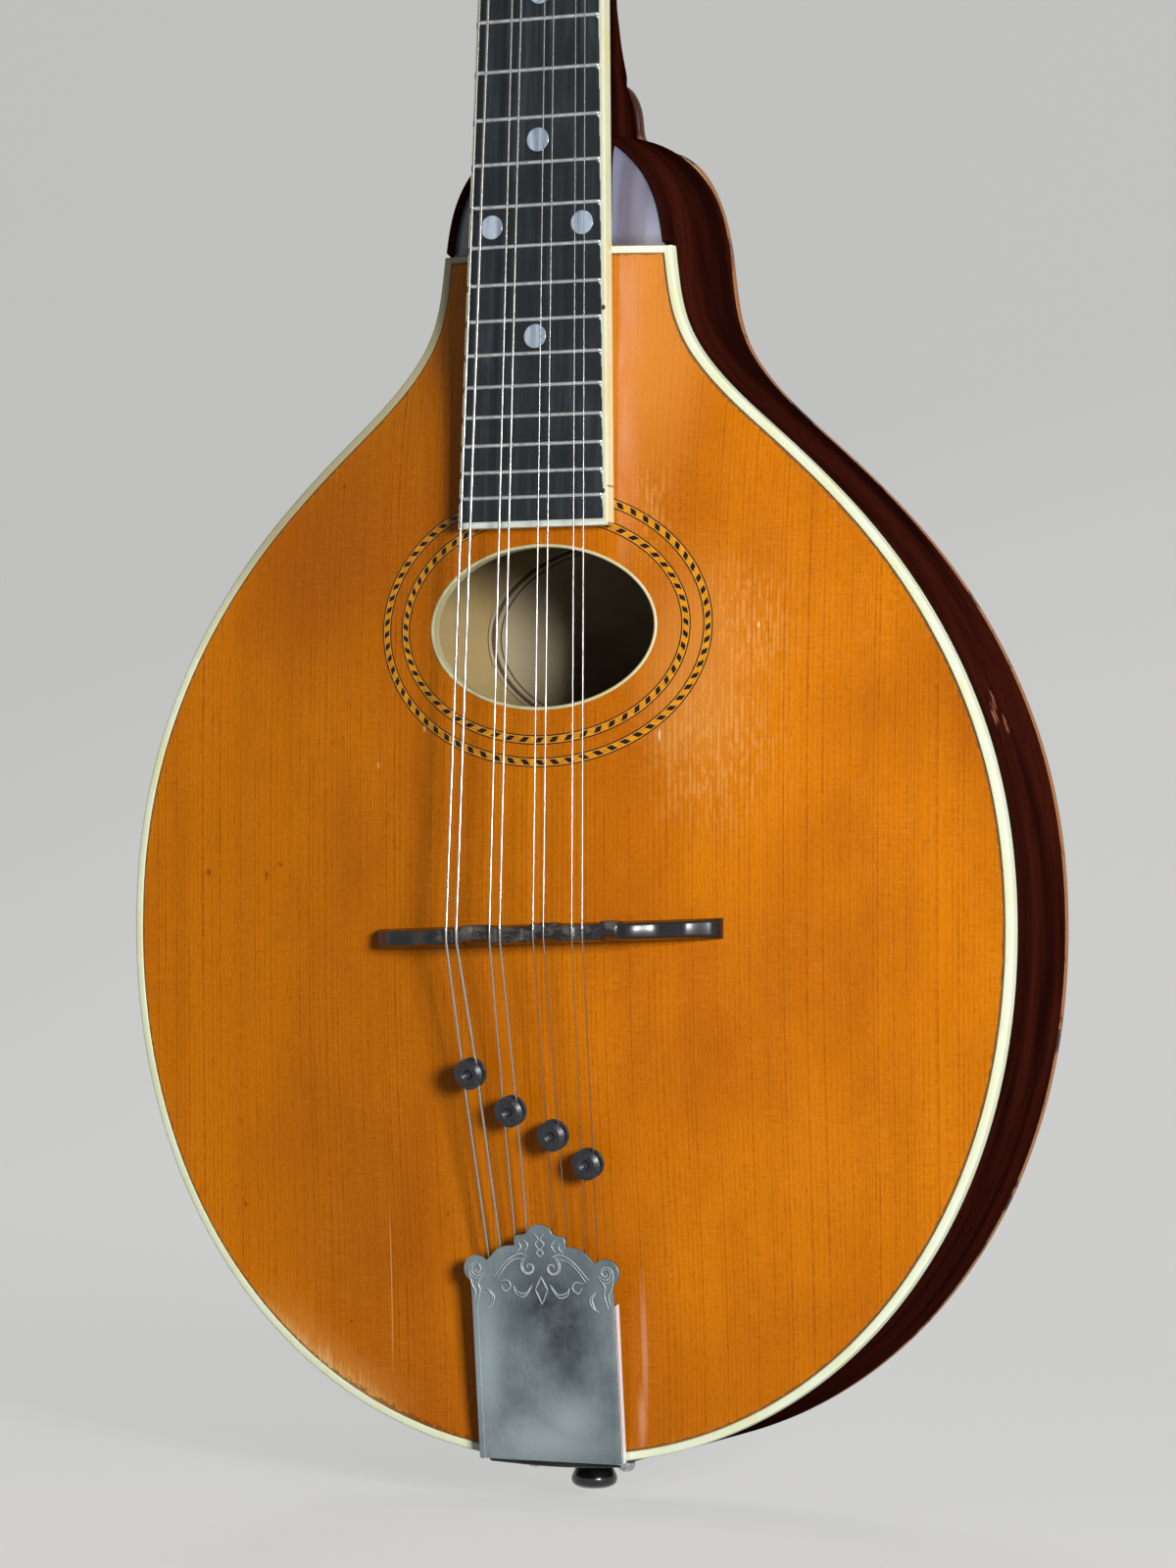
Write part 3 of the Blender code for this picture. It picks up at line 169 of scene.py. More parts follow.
def newFinish(name, roughness=0.4, metallic=0.0, coat=0.0, coatRoughness=0.1, specular=0.5):
    material = bpy.data.materials.new(name)
    material.use_nodes = True
    tree = material.node_tree
    shader = tree.nodes["Principled BSDF"]
    shader.inputs["Roughness"].default_value = roughness
    shader.inputs["Metallic"].default_value = metallic
    shader.inputs["Coat Weight"].default_value = coat
    shader.inputs["Coat Roughness"].default_value = coatRoughness
    shader.inputs["Specular IOR Level"].default_value = specular
    return material, tree, shader


def relief(tree, shader, height, distance, strength=1.0):
    made = node(tree, "ShaderNodeBump", {"Height": height, "Distance": distance, "Strength": strength})
    tree.links.new(made.outputs[0], shader.inputs["Normal"])


# Finishes

spruce = dict(amber=(0.70, 0.208, 0.001), orange=(0.49, 0.124, 0.001), brown=(0.24, 0.048, 0.001),
              worn=(0.82, 0.42, 0.13), cream=(0.82, 0.62, 0.33), pink=(0.78, 0.37, 0.22), tan=(0.72, 0.28, 0.050),
              raw=(0.17, 0.105, 0.05), ring=0.00125,
              flecks=((0.0470, -0.3060, 0.032, 0.038), (0.0560, -0.2760, 0.022, 0.034),
                      (0.0300, -0.2460, 0.010, 0.022)),
              tanAndSheen=((0.0290, -0.2050, 0.020, 0.050), (0.0260, -0.1850, 0.012, 0.020), (0.0420, -0.2850, 0.022, 0.040)),
              shaded=((-0.0480, -0.2500, 0.045, 0.060, 0.55), (-0.0300, -0.3600, 0.040, 0.080, 0.30),
                      (-0.0600, -0.4350, 0.050, 0.050, 0.45), (0.0, -0.4850, 0.100, 0.042, 0.75)),
              dings=((-0.0911, -0.4266, 0.0011, 0.0011), (-0.0595, -0.4569, 0.0007, 0.0007), (-0.0295, -0.4275, 0.0008, 0.0012),
                     (-0.0611, -0.2359, 0.0009, 0.0013), (-0.1021, -0.3381, 0.0014, 0.0017),
                     (-0.0835, -0.3390, 0.0009, 0.0020), (-0.0790, -0.3360, 0.0018, 0.0008)),
              nicks=((0.0588, -0.2752, 0.0004, 0.0011), (0.0330, -0.3030, 0.0004, 0.0022),
                     (-0.0338, -0.3005, 0.0004, 0.0013), (-0.0480, -0.3100, 0.0003, 0.0010)))


def spruceFinish():
    # Amber lacquer over straight grain. The UV's second number is the distance from the edging in metres, below
    # 0 on the raw underside. Rings are frac(x / ring)^3, each with its own strength, and beaded along z.
    material, tree, shader = newFinish("spruceTop", 0.34, specular=0.13, coat=0.03, coatRoughness=0.15)
    here = objectPlace(tree)
    place = split(tree, here)
    fromEdge = split(tree, surfacePlace(tree))[1]
    sway = noise(tree, stretch(tree, here, (10, 0, 2.4)), 1.0, 1.0)
    crowd = noise(tree, stretch(tree, here, (55, 0, 0.6)), 1.0, 1.0)
    bent = calc(tree, "MULTIPLY_ADD", sway, 0.0030, calc(tree, "MULTIPLY_ADD", crowd, 0.0105, place[0]))
    ring = calc(tree, "DIVIDE", bent, spruce["ring"])
    number = calc(tree, "FLOOR", ring)
    part = calc(tree, "FRACT", ring)
    late = calc(tree, "POWER", part, 3.0)
    own = node(tree, "ShaderNodeTexWhiteNoise", {"W": number}, noise_dimensions="1D").outputs["Value"]
    own = calc(tree, "MULTIPLY_ADD", calc(tree, "POWER", own, 1.6), 0.74, 0.28)
    beads = noise(tree, ringRow(tree, number, place[2], 3.7, 430), 1.0, 2.0, 0.6)
    stretches = noise(tree, ringRow(tree, number, place[2], 1.3, 38), 1.0, 2.0)
    broken = calc(tree, "MULTIPLY", step(tree, beads, 0.36, 0.62), step(tree, stretches, 0.30, 0.62))
    lines = calc(tree, "MULTIPLY", calc(tree, "MULTIPLY", late, own), calc(tree, "MULTIPLY_ADD", broken, 0.62, 0.38))
    clouds = noise(tree, stretch(tree, here, (16, 0, 9)), 1.0, 4.0, 0.55)
    base = mix(tree, step(tree, clouds, 0.30, 0.62), spruce["orange"], spruce["amber"])
    bands = step(tree, noise(tree, stretch(tree, here, (95, 0, 3.0), (3, 0, 0)), 1.0, 2.0), 0.50, 0.74)
    base = mix(tree, calc(tree, "MULTIPLY", bands, 0.40), base, spruce["orange"])
    # painted shade: darker patches on the bass side beside the hole and further down, and across the tail
    for x, z, wide_, tall_, share in spruce["shaded"]:
        shade = spot(tree, place, (x, z), (wide_, tall_), 1.0)
        base = mix(tree, calc(tree, "MULTIPLY", shade, share), base, mixed(spruce["orange"], spruce["brown"], 0.35))
    # short fibres, lighter and darker, then the rings' late wood
    fibres = noise(tree, stretch(tree, here, (1500, 0, 150)), 1.0, 3.0, 0.65)
    base = mix(tree, calc(tree, "MULTIPLY", step(tree, fibres, 0.50, 0.72), 0.55), base, spruce["orange"])
    base = mix(tree, calc(tree, "MULTIPLY", step(tree, fibres, 0.47, 0.28), 0.16), base, spruce["tan"])
    base = mix(tree, calc(tree, "MULTIPLY", lines, 0.98), base, spruce["brown"])
    specks = noise(tree, stretch(tree, here, (1500, 0, 800), (0.3, 0, 0.7)), 1.0, 3.0, 0.7)
    base = mix(tree, calc(tree, "MULTIPLY", step(tree, specks, 0.53, 0.72), 0.42), base, spruce["brown"])
    base = mix(tree, calc(tree, "MULTIPLY", step(tree, specks, 0.45, 0.28), 0.20), base, spruce["tan"])
    # silk: short lines across the grain, in patches
    silk = noise(tree, stretch(tree, here, (170, 0, 1900)), 1.0, 2.0)
    patches = step(tree, noise(tree, stretch(tree, here, (30, 0, 26), (5, 0, 2)), 1.0, 2.0), 0.38, 0.62)
    base = mix(tree, calc(tree, "MULTIPLY", calc(tree, "MULTIPLY", step(tree, silk, 0.53, 0.66), patches), 0.13),
               base, spruce["tan"])
    base = mix(tree, calc(tree, "MULTIPLY", calc(tree, "MULTIPLY", step(tree, silk, 0.46, 0.30), patches), 0.15),
               base, spruce["brown"])
    # a pink strip against the fingerboard, a painted highlight; tan patches beyond it, partly a painted sheen; and a
    # pale streak beside the tailpiece, a painted reflection
    tanAndSheen = spots(tree, place, spruce["tanAndSheen"], 0.9)
    base = mix(tree, calc(tree, "MULTIPLY", tanAndSheen, 0.55), base, spruce["tan"])
    # painted highlight: a pink strip on the crown just beside the fingerboard's treble edge, broken up in patches
    away = calc(tree, "SUBTRACT", place[0], calc(tree, "MULTIPLY_ADD", place[2], -0.02354, 0.01535))
    sheenStrip = calc(tree, "MULTIPLY", step(tree, away, 0.0080, 0.0), step(tree, place[2], -0.275, -0.225))
    sheenStrip = calc(tree, "MULTIPLY", sheenStrip, calc(tree, "GREATER_THAN", away, 0.0))
    dusty = step(tree, noise(tree, stretch(tree, here, (260, 0, 60)), 1.0, 3.0, 0.6), 0.30, 0.66)
    sheenStrip = calc(tree, "MULTIPLY", sheenStrip, calc(tree, "MULTIPLY_ADD", dusty, 0.6, 0.4))
    base = mix(tree, calc(tree, "MULTIPLY", sheenStrip, 0.46), base, spruce["pink"])
    # rubbed strokes up the grain: whole columns of them in places, a few more of them elsewhere
    rubbed = spots(tree, place, spruce["flecks"], 0.85)
    strayed = step(tree, noise(tree, stretch(tree, here, (24, 0, 20), (7, 0, 1)), 1.0, 2.0), 0.52, 0.80)
    wide = calc(tree, "MAXIMUM", rubbed, calc(tree, "MULTIPLY", strayed, 0.30))
    columns = noise(tree, ringRow(tree, number, place[2], 5.1, 150), 1.0, 3.0, 0.6)
    columns = calc(tree, "MULTIPLY", step(tree, columns, 0.44, 0.60), step(tree, part, 0.78, 0.50))
    strokes = noise(tree, stretch(tree, here, (1250, 0, 260), (2, 0, 9)), 1.0, 3.0, 0.65)
    threshold = calc(tree, "MULTIPLY_ADD", wide, -0.20, 0.74)
    marks = step(tree, calc(tree, "SUBTRACT", strokes, threshold), 0.0, 0.10)
    marks = calc(tree, "MAXIMUM", marks, calc(tree, "MULTIPLY", columns, calc(tree, "MULTIPLY", wide, 0.85)))
    marks = calc(tree, "MULTIPLY", marks, calc(tree, "POWER", wide, 0.7))
    base = mix(tree, calc(tree, "MULTIPLY", marks, 0.40), base, spruce["worn"])
    # painted reflection: a pale pink streak beside the tailpiece
    reflectionStreak = spots(tree, place, ((0.0252, -0.4610, 0.0013, 0.0260), (0.0243, -0.4790, 0.0019, 0.0120)), 0.9)
    base = mix(tree, calc(tree, "MULTIPLY", reflectionStreak, 0.50), base, spruce["pink"])
    # one long scratch: |x - 0.012 z + c| under a quarter of a millimetre
    tilted = calc(tree, "MULTIPLY_ADD", place[2], -0.012, place[0])
    scratch = calc(tree, "ABSOLUTE", calc(tree, "ADD", tilted, 0.0418))
    scratch = calc(tree, "MULTIPLY", step(tree, scratch, 0.00028, 0.00008),
                   spots(tree, place, ((-0.0472, -0.4480, 0.004, 0.0260),), 0.6))
    base = mix(tree, calc(tree, "MULTIPLY", scratch, 0.60), base, spruce["worn"])
    # dents, dark, and nicks, pale
    ragged = noise(tree, here, 1600.0, 2.0)
    dings = calc(tree, "MULTIPLY", spots(tree, place, spruce["dings"], 0.9), step(tree, ragged, 0.36, 0.56))
    base = mix(tree, calc(tree, "MULTIPLY", dings, 0.85), base, spruce["brown"])
    nicks = spots(tree, place, spruce["nicks"], 0.6)
    base = mix(tree, calc(tree, "MULTIPLY", nicks, 0.85), base, spruce["cream"])
    # the lower bass edge is worn in strokes up the grain, ragged and dirty towards the tailpiece
    tatter = noise(tree, stretch(tree, here, (800, 0, 42), (4, 0, 1)), 1.0, 3.0, 0.75)
    where = spots(tree, place, ((-0.0640, -0.4650, 0.036, 0.032),), 0.8)
    base = mix(tree, calc(tree, "MULTIPLY", calc(tree, "MULTIPLY", where, step(tree, fromEdge, 0.0130, 0.0010)), 0.55),
               base, spruce["tan"])
    reach = calc(tree, "MULTIPLY", calc(tree, "SUBTRACT", tatter, 0.30), calc(tree, "MULTIPLY", where, 0.017))
    depth = calc(tree, "SUBTRACT", fromEdge, reach)
    base = mix(tree, calc(tree, "MULTIPLY", step(tree, depth, 0.0014, -0.0022), 0.60), base, spruce["worn"])
    base = mix(tree, calc(tree, "MULTIPLY", step(tree, depth, -0.0020, -0.0042), 0.75), base, spruce["cream"])
    chips = noise(tree, stretch(tree, here, (560, 0, 560), (1, 0, 3)), 1.0, 3.0, 0.7)
    lower = spots(tree, place, ((-0.0470, -0.4800, 0.034, 0.020),), 0.7)
    reach = calc(tree, "MULTIPLY", calc(tree, "SUBTRACT", chips, 0.40), calc(tree, "MULTIPLY_ADD", lower, 0.006, 0.0018))
    seam = step(tree, calc(tree, "SUBTRACT", fromEdge, reach), 0.0006, 0.0001)
    base = mix(tree, calc(tree, "MULTIPLY", seam, 0.62), base, (0.09, 0.040, 0.010))
    # painted shade: the raw underside is painted a darker brown than bare spruce, which keeps the inside of the body
    # dark
    under = step(tree, fromEdge, 0.0, -0.0001)
    base = mix(tree, under, base, spruce["raw"])
    feed(tree, base, shader.inputs["Base Color"])
    rough = calc(tree, "MULTIPLY_ADD", wide, 0.10, calc(tree, "MULTIPLY_ADD", clouds, 0.16, 0.30))
    feed(tree, calc(tree, "MULTIPLY_ADD", under, 0.4, rough), shader.inputs["Roughness"])
    height = calc(tree, "MULTIPLY_ADD", marks, 0.5, calc(tree, "MULTIPLY_ADD", dings, -1.2, lines))
    relief(tree, shader, calc(tree, "MULTIPLY_ADD", fibres, 0.6, height), 0.00006, 0.35)
    return material


def ringRow(tree, number, height, offset, scale):
    # A place that differs for each ring and runs along the grain: (number * offset, 0, height * scale)
    return node(tree, "ShaderNodeCombineXYZ", {0: calc(tree, "MULTIPLY", number, offset),
                                               2: calc(tree, "MULTIPLY", height, scale)}).outputs[0]


def mixed(first, second, share):
    return tuple(a + (b - a) * share for a, b in zip(first, second))


def rawSpruceFinish():
    # painted shade: bare wood inside the body, painted a darker brown than bare spruce so the inside stays dark
    material, tree, shader = newFinish("rawSpruce", 0.75, specular=0.3)
    here = objectPlace(tree)
    grain = noise(tree, stretch(tree, here, (700, 700, 12)), 1.0, 3.0)
    base = mix(tree, step(tree, grain, 0.35, 0.70), (0.20, 0.125, 0.06), (0.14, 0.08, 0.035))
    feed(tree, base, shader.inputs["Base Color"])
    relief(tree, shader, grain, 0.0001, 0.3)
    return material


redBrown = dict(deep=(0.016, 0.0030, 0.0022), glow=(0.056, 0.0098, 0.0050), tan=(0.46, 0.19, 0.060),
                bare=(0.40, 0.16, 0.09), maple=(0.50, 0.36, 0.155))


def redBrownFinish(name, plate=False):
    # Dark red-brown lacquer with broad figure. On a plate the UV's second number is the distance in metres from
    # the edge: it is rubbed through to tan wood along the edge, and raw maple where that number is below 0.
    material, tree, shader = newFinish(name, 0.30, specular=0.3 if plate else 0.0)
    here = objectPlace(tree)
    figure = noise(tree, stretch(tree, here, (9, 60, 9)), 1.0, 4.0, 0.55, 0.6)
    base = mix(tree, step(tree, figure, 0.36, 0.66), redBrown["deep"], redBrown["glow"])
    fine = noise(tree, stretch(tree, here, (380, 380, 30)), 1.0, 3.0, 0.6)
    base = mix(tree, calc(tree, "MULTIPLY", step(tree, fine, 0.5, 0.75), 0.5), base, redBrown["deep"])
    rough = calc(tree, "MULTIPLY_ADD", fine, 0.18, 0.30)
    if plate:
        fromEdge = split(tree, surfacePlace(tree))[1]
        ragged = noise(tree, stretch(tree, here, (110, 110, 110)), 1.0, 4.0, 0.65)
        reach = calc(tree, "MULTIPLY_ADD", calc(tree, "SUBTRACT", ragged, 0.42), 0.0042, 0.0001)
        body_ = step(tree, split(tree, here)[2], -0.1400, -0.1450)
        worn = calc(tree, "MULTIPLY", step(tree, calc(tree, "SUBTRACT", fromEdge, reach), 0.0002, -0.0002), body_)
        base = mix(tree, calc(tree, "MULTIPLY", worn, 0.80), base, redBrown["tan"])
        inside = calc(tree, "MULTIPLY", step(tree, fromEdge, 0.0, -0.0001), body_)
        flames = noise(tree, stretch(tree, here, (14, 14, 120)), 1.0, 3.0, 0.5, 0.5)
        maple = mix(tree, calc(tree, "MULTIPLY", step(tree, flames, 0.40, 0.66), 0.30), redBrown["maple"],
                    (0.38, 0.26, 0.12))
        base = mix(tree, inside, base, mix(tree, calc(tree, "MULTIPLY", fine, 0.25), maple, (0.36, 0.25, 0.13)))
        rough = calc(tree, "MULTIPLY_ADD", inside, 0.4, rough)
    feed(tree, base, shader.inputs["Base Color"])
    feed(tree, rough, shader.inputs["Roughness"])
    relief(tree, shader, fine, 0.00004, 0.3)
    return material


def sideFinish():
    # The sides' finish, with a few bare knocks on the treble side where the bout is widest
    material = redBrownFinish("redBrownSides")
    tree = material.node_tree
    shader = tree.nodes["Principled BSDF"]
    below = shader.inputs["Base Color"].links[0].from_socket
    here = objectPlace(tree)
    place = split(tree, here)
    turned = (place[1], place[1], place[2])
    marks = spots(tree, turned, ((0.0160, -0.2945, 0.0016, 0.0030), (0.0125, -0.2985, 0.0022, 0.0042),
                                 (0.0190, -0.3010, 0.0014, 0.0036), (0.0040, -0.2990, 0.0009, 0.0022)), 0.5)
    ragged = step(tree, noise(tree, stretch(tree, here, (300, 500, 260)), 1.0, 2.0), 0.38, 0.50)
    bare = calc(tree, "MULTIPLY", calc(tree, "MULTIPLY", marks, ragged), calc(tree, "GREATER_THAN", place[0], 0.05))
    feed(tree, mix(tree, calc(tree, "MULTIPLY", bare, 0.8), below, redBrown["bare"]), shader.inputs["Base Color"])
    return material


def shoulderFinish():
    # Dark stained wood streaked along the neck, coloured grey and violet as a painted satin sheen, with a paler
    # painted highlight in a band and darker towards its lower end
    material, tree, shader = newFinish("shoulderSatin", 0.34, specular=0.40, coat=0.15, coatRoughness=0.22)
    here = objectPlace(tree)
    place = split(tree, here)
    streaks = noise(tree, stretch(tree, here, (200, 40, 16)), 1.0, 3.0, 0.5)
    base = mix(tree, step(tree, streaks, 0.30, 0.70), (0.118, 0.108, 0.150), (0.205, 0.215, 0.315))
    # painted highlight: a pale band up the face
    pale = spots(tree, place, ((0.0236, -0.1560, 0.0022, 0.030), (0.0292, -0.1600, 0.0013, 0.020)), 0.9)
    base = mix(tree, calc(tree, "MULTIPLY", pale, 0.25), base, (0.32, 0.34, 0.46))
    edge = step(tree, place[2], -0.1725, -0.1760)
    base = mix(tree, calc(tree, "MULTIPLY", edge, 0.6), base, (0.060, 0.026, 0.026))
    feed(tree, base, shader.inputs["Base Color"])
    relief(tree, shader, streaks, 0.00008, 0.25)
    return material


def pastFret(tree, place):
    # Metres from the nearest fret line towards the tail. n = -12 log2(1 + z / scale) is the fret number at z.
    open_ = calc(tree, "MULTIPLY_ADD", place[2], 1 / 0.3524, 1.0)
    number = calc(tree, "MULTIPLY", calc(tree, "LOGARITHM", open_, 2.0), -12.0)
    past = calc(tree, "SUBTRACT", number, calc(tree, "ROUND", number))
    return calc(tree, "MULTIPLY", past, calc(tree, "MULTIPLY", open_, 0.3524 * math.log(2) / 12))


def creamFinish(name, colour, dirt=0.25, chipped=False):
    # Aged celluloid: pale cream with yellowed clouds and a little grime; on the body's edging, painted shade up the
    # bass side towards the neck. Chipped is for the fingerboard's edging: painted dark as shade on the bass side but
    # for a ragged outer line, with dark notches past the frets; on the treble side a painted highlight, pale and
    # bluish, on its inner part, with bites and two small holes.
    material, tree, shader = newFinish(name, 0.32, specular=0.35, coat=0.15, coatRoughness=0.15)
    shader.inputs["Subsurface Weight"].default_value = 0.10
    shader.inputs["Subsurface Scale"].default_value = 0.0008
    here = objectPlace(tree)
    clouds = noise(tree, here, 70.0, 4.0, 0.6)
    yellow = tuple(channel * share for channel, share in zip(colour, (0.96, 0.91, 0.74)))
    base = mix(tree, step(tree, clouds, 0.38, 0.70), colour, yellow)
    grimeAndShade = noise(tree, stretch(tree, here, (400, 400, 160)), 1.0, 3.0, 0.7)
    grimeAndShade = calc(tree, "MULTIPLY", step(tree, grimeAndShade, 0.60, 0.78), dirt)
    base = mix(tree, grimeAndShade, base, (0.20, 0.12, 0.05))
    if name == "creamBinding":
        # painted shade: the edging up the bass side towards the neck is darkened
        dull = spot(tree, split(tree, here), (-0.060, -0.200), (0.068, 0.150), 0.6)
        base = mix(tree, calc(tree, "MULTIPLY", dull, 0.75), base, (0.34, 0.27, 0.13))
    if chipped:
        place = split(tree, here)
        wave = noise(tree, stretch(tree, here, (0, 0, 420)), 1.0, 3.0, 0.6)
        outer = calc(tree, "MULTIPLY_ADD", place[2], -0.02354, 0.01535)
        fromOuter = calc(tree, "SUBTRACT", outer, calc(tree, "ABSOLUTE", place[0]))
        # painted highlight: the edging's inner part, away from its outer edge, pale and bluish
        base = mix(tree, calc(tree, "MULTIPLY", step(tree, fromOuter, 0.0006, 0.0010), 0.8), base, (0.76, 0.86, 0.82))
        bite = calc(tree, "SUBTRACT", calc(tree, "SUBTRACT", outer, place[0]),
                    calc(tree, "MULTIPLY", calc(tree, "SUBTRACT", wave, 0.60), 0.0060))
        bite = calc(tree, "MULTIPLY", step(tree, bite, 0.0001, -0.0001), step(tree, place[2], -0.2215, -0.2240))
        base = mix(tree, calc(tree, "MULTIPLY", bite, 0.85), base, (0.30, 0.085, 0.020))
        # painted shade: on the bass side all but a ragged outer line is painted dark as ebony, with dark notches past
        # the frets
        ragged = calc(tree, "MULTIPLY_ADD", wave, 0.0004, 0.00042)
        inner = step(tree, calc(tree, "SUBTRACT", fromOuter, ragged), 0.0, 0.0001)
        notch = step(tree, calc(tree, "ABSOLUTE", calc(tree, "SUBTRACT", pastFret(tree, place), 0.0006)), 0.0009, 0.0007)
        bass = calc(tree, "MULTIPLY", calc(tree, "MAXIMUM", inner, notch), calc(tree, "LESS_THAN", place[0], -0.005))
        bass = calc(tree, "MULTIPLY", bass, calc(tree, "GREATER_THAN", place[2], -0.2477))
        base = mix(tree, bass, base, (0.012, 0.014, 0.018))
        holes = spots(tree, place, ((0.0192, -0.1933, 0.0007, 0.0009), (0.0199, -0.2405, 0.0006, 0.0008)), 0.4)
        base = mix(tree, holes, base, (0.10, 0.030, 0.008))
    feed(tree, base, shader.inputs["Base Color"])
    relief(tree, shader, clouds, 0.00010, 0.25)
    return material


rope = dict(black=(0.012, 0.005, 0.003), line=0.13, half=0.27)


def ropeFinish(name, count, slant):
    # UV: first number runs once round the ring, second across it. Slanted black blocks in gold between two thin
    # black lines: black where |frac(count * u + slant * v) - 0.5| is under 0.22 and |v - 0.5| is under half.
    material, tree, shader = newFinish(name, 0.32, specular=0.20, coat=0.05, coatRoughness=0.16)
    flat = split(tree, surfacePlace(tree))
    slanted = calc(tree, "MULTIPLY_ADD", flat[0], float(count), calc(tree, "MULTIPLY", flat[1], slant))
    block = calc(tree, "FRACT", slanted)
    away = calc(tree, "ABSOLUTE", calc(tree, "SUBTRACT", block, 0.5))
    across = calc(tree, "ABSOLUTE", calc(tree, "SUBTRACT", flat[1], 0.5))
    inside = step(tree, across, rope["half"] + 0.02, rope["half"] - 0.02)
    black = calc(tree, "MULTIPLY", step(tree, away, 0.235, 0.205), inside)
    line = step(tree, across, 0.5 - rope["line"] - 0.01, 0.5 - rope["line"] + 0.02)
    tint = noise(tree, stretch(tree, surfacePlace(tree), (float(count) * 2.0, 2.0, 1.0)), 1.0, 2.0)
    wood = mix(tree, step(tree, tint, 0.3, 0.7), (0.62, 0.22, 0.004), (0.80, 0.33, 0.012))
    wood = mix(tree, calc(tree, "MULTIPLY_ADD", inside, -0.55, 0.55), wood, (0.72, 0.38, 0.075))
    base = mix(tree, calc(tree, "MAXIMUM", black, line), wood, rope["black"])
    feed(tree, base, shader.inputs["Base Color"])
    relief(tree, shader, black, 0.00004, 0.3)
    return material


label = dict(paper=(0.56, 0.46, 0.29), line=(0.10, 0.050, 0.025), centre=(0.0, -0.2748), size=(0.0423, 0.0272))


def paperFinish():
    # Old stained paper with two printed ovals near its edge
    material, tree, shader = newFinish("agedPaper", 0.9, specular=0.2)
    here = objectPlace(tree)
    place = split(tree, here)
    x = calc(tree, "DIVIDE", calc(tree, "SUBTRACT", place[0], label["centre"][0]), label["size"][0])
    z = calc(tree, "DIVIDE", calc(tree, "SUBTRACT", place[2], label["centre"][1]), label["size"][1])
    far = calc(tree, "SQRT", calc(tree, "ADD", calc(tree, "MULTIPLY", x, x), calc(tree, "MULTIPLY", z, z)))
    thick = step(tree, calc(tree, "ABSOLUTE", calc(tree, "SUBTRACT", far, 0.965)), 0.018, 0.012)
    thin = step(tree, calc(tree, "ABSOLUTE", calc(tree, "SUBTRACT", far, 0.915)), 0.008, 0.004)
    fibres = noise(tree, here, 420.0, 3.0, 0.6)
    stains = noise(tree, here, 34.0, 3.0, 0.6)
    base = mix(tree, step(tree, stains, 0.42, 0.70), label["paper"], (0.40, 0.28, 0.16))
    base = mix(tree, calc(tree, "MULTIPLY", calc(tree, "MAXIMUM", thick, thin), 0.9), base, label["line"])
    feed(tree, base, shader.inputs["Base Color"])
    relief(tree, shader, fibres, 0.0001, 0.3)
    return material


def ebonyFinish(name, dark, dusty, roughness, coat=0.0, specular=0.3):
    # Black wood with fine long grain, dusty and grey in places
    material, tree, shader = newFinish(name, roughness, specular=specular, coat=coat, coatRoughness=0.12)
    here = objectPlace(tree)
    grain = noise(tree, stretch(tree, here, (900, 300, 22)), 1.0, 3.0, 0.6)
    dust = noise(tree, stretch(tree, here, (130, 60, 60)), 1.0, 3.0, 0.6)
    amount = calc(tree, "MULTIPLY", step(tree, grain, 0.35, 0.75), step(tree, dust, 0.30, 0.75))
    feed(tree, mix(tree, amount, dark, dusty), shader.inputs["Base Color"])
    feed(tree, calc(tree, "MULTIPLY_ADD", dust, 0.20, roughness - 0.10), shader.inputs["Roughness"])
    relief(tree, shader, grain, 0.00006, 0.35)
    return material


def boardFinish():
    # The fingerboard's ebony. On the treble side a pale bluish colour, the cream edging with a painted highlight on it,
    # fills the corner below each fret: the part of a small square that lies outside its quarter circle.
    material = ebonyFinish("ebonyBoard", (0.011, 0.014, 0.018), (0.046, 0.056, 0.068), 0.52)
    tree = material.node_tree
    shader = tree.nodes["Principled BSDF"]
    below = shader.inputs["Base Color"].links[0].from_socket
    place = split(tree, objectPlace(tree))
    gap = pastFret(tree, place)
    half = calc(tree, "MULTIPLY_ADD", place[2], -0.02354, 0.01535 - 0.0014)
    side = calc(tree, "SUBTRACT", half, place[0])
    radius = 0.0012
    a = calc(tree, "MAXIMUM", calc(tree, "SUBTRACT", radius + 0.0006, gap), 0.0)
    b = calc(tree, "MAXIMUM", calc(tree, "SUBTRACT", radius + 0.0001, side), 0.0)
    far = calc(tree, "SQRT", calc(tree, "ADD", calc(tree, "MULTIPLY", a, a), calc(tree, "MULTIPLY", b, b)))
    corner = calc(tree, "MULTIPLY", step(tree, far, radius, radius + 0.00025), calc(tree, "GREATER_THAN", gap, 0.0))
    feed(tree, mix(tree, corner, below, (0.74, 0.80, 0.72)), shader.inputs["Base Color"])
    return material


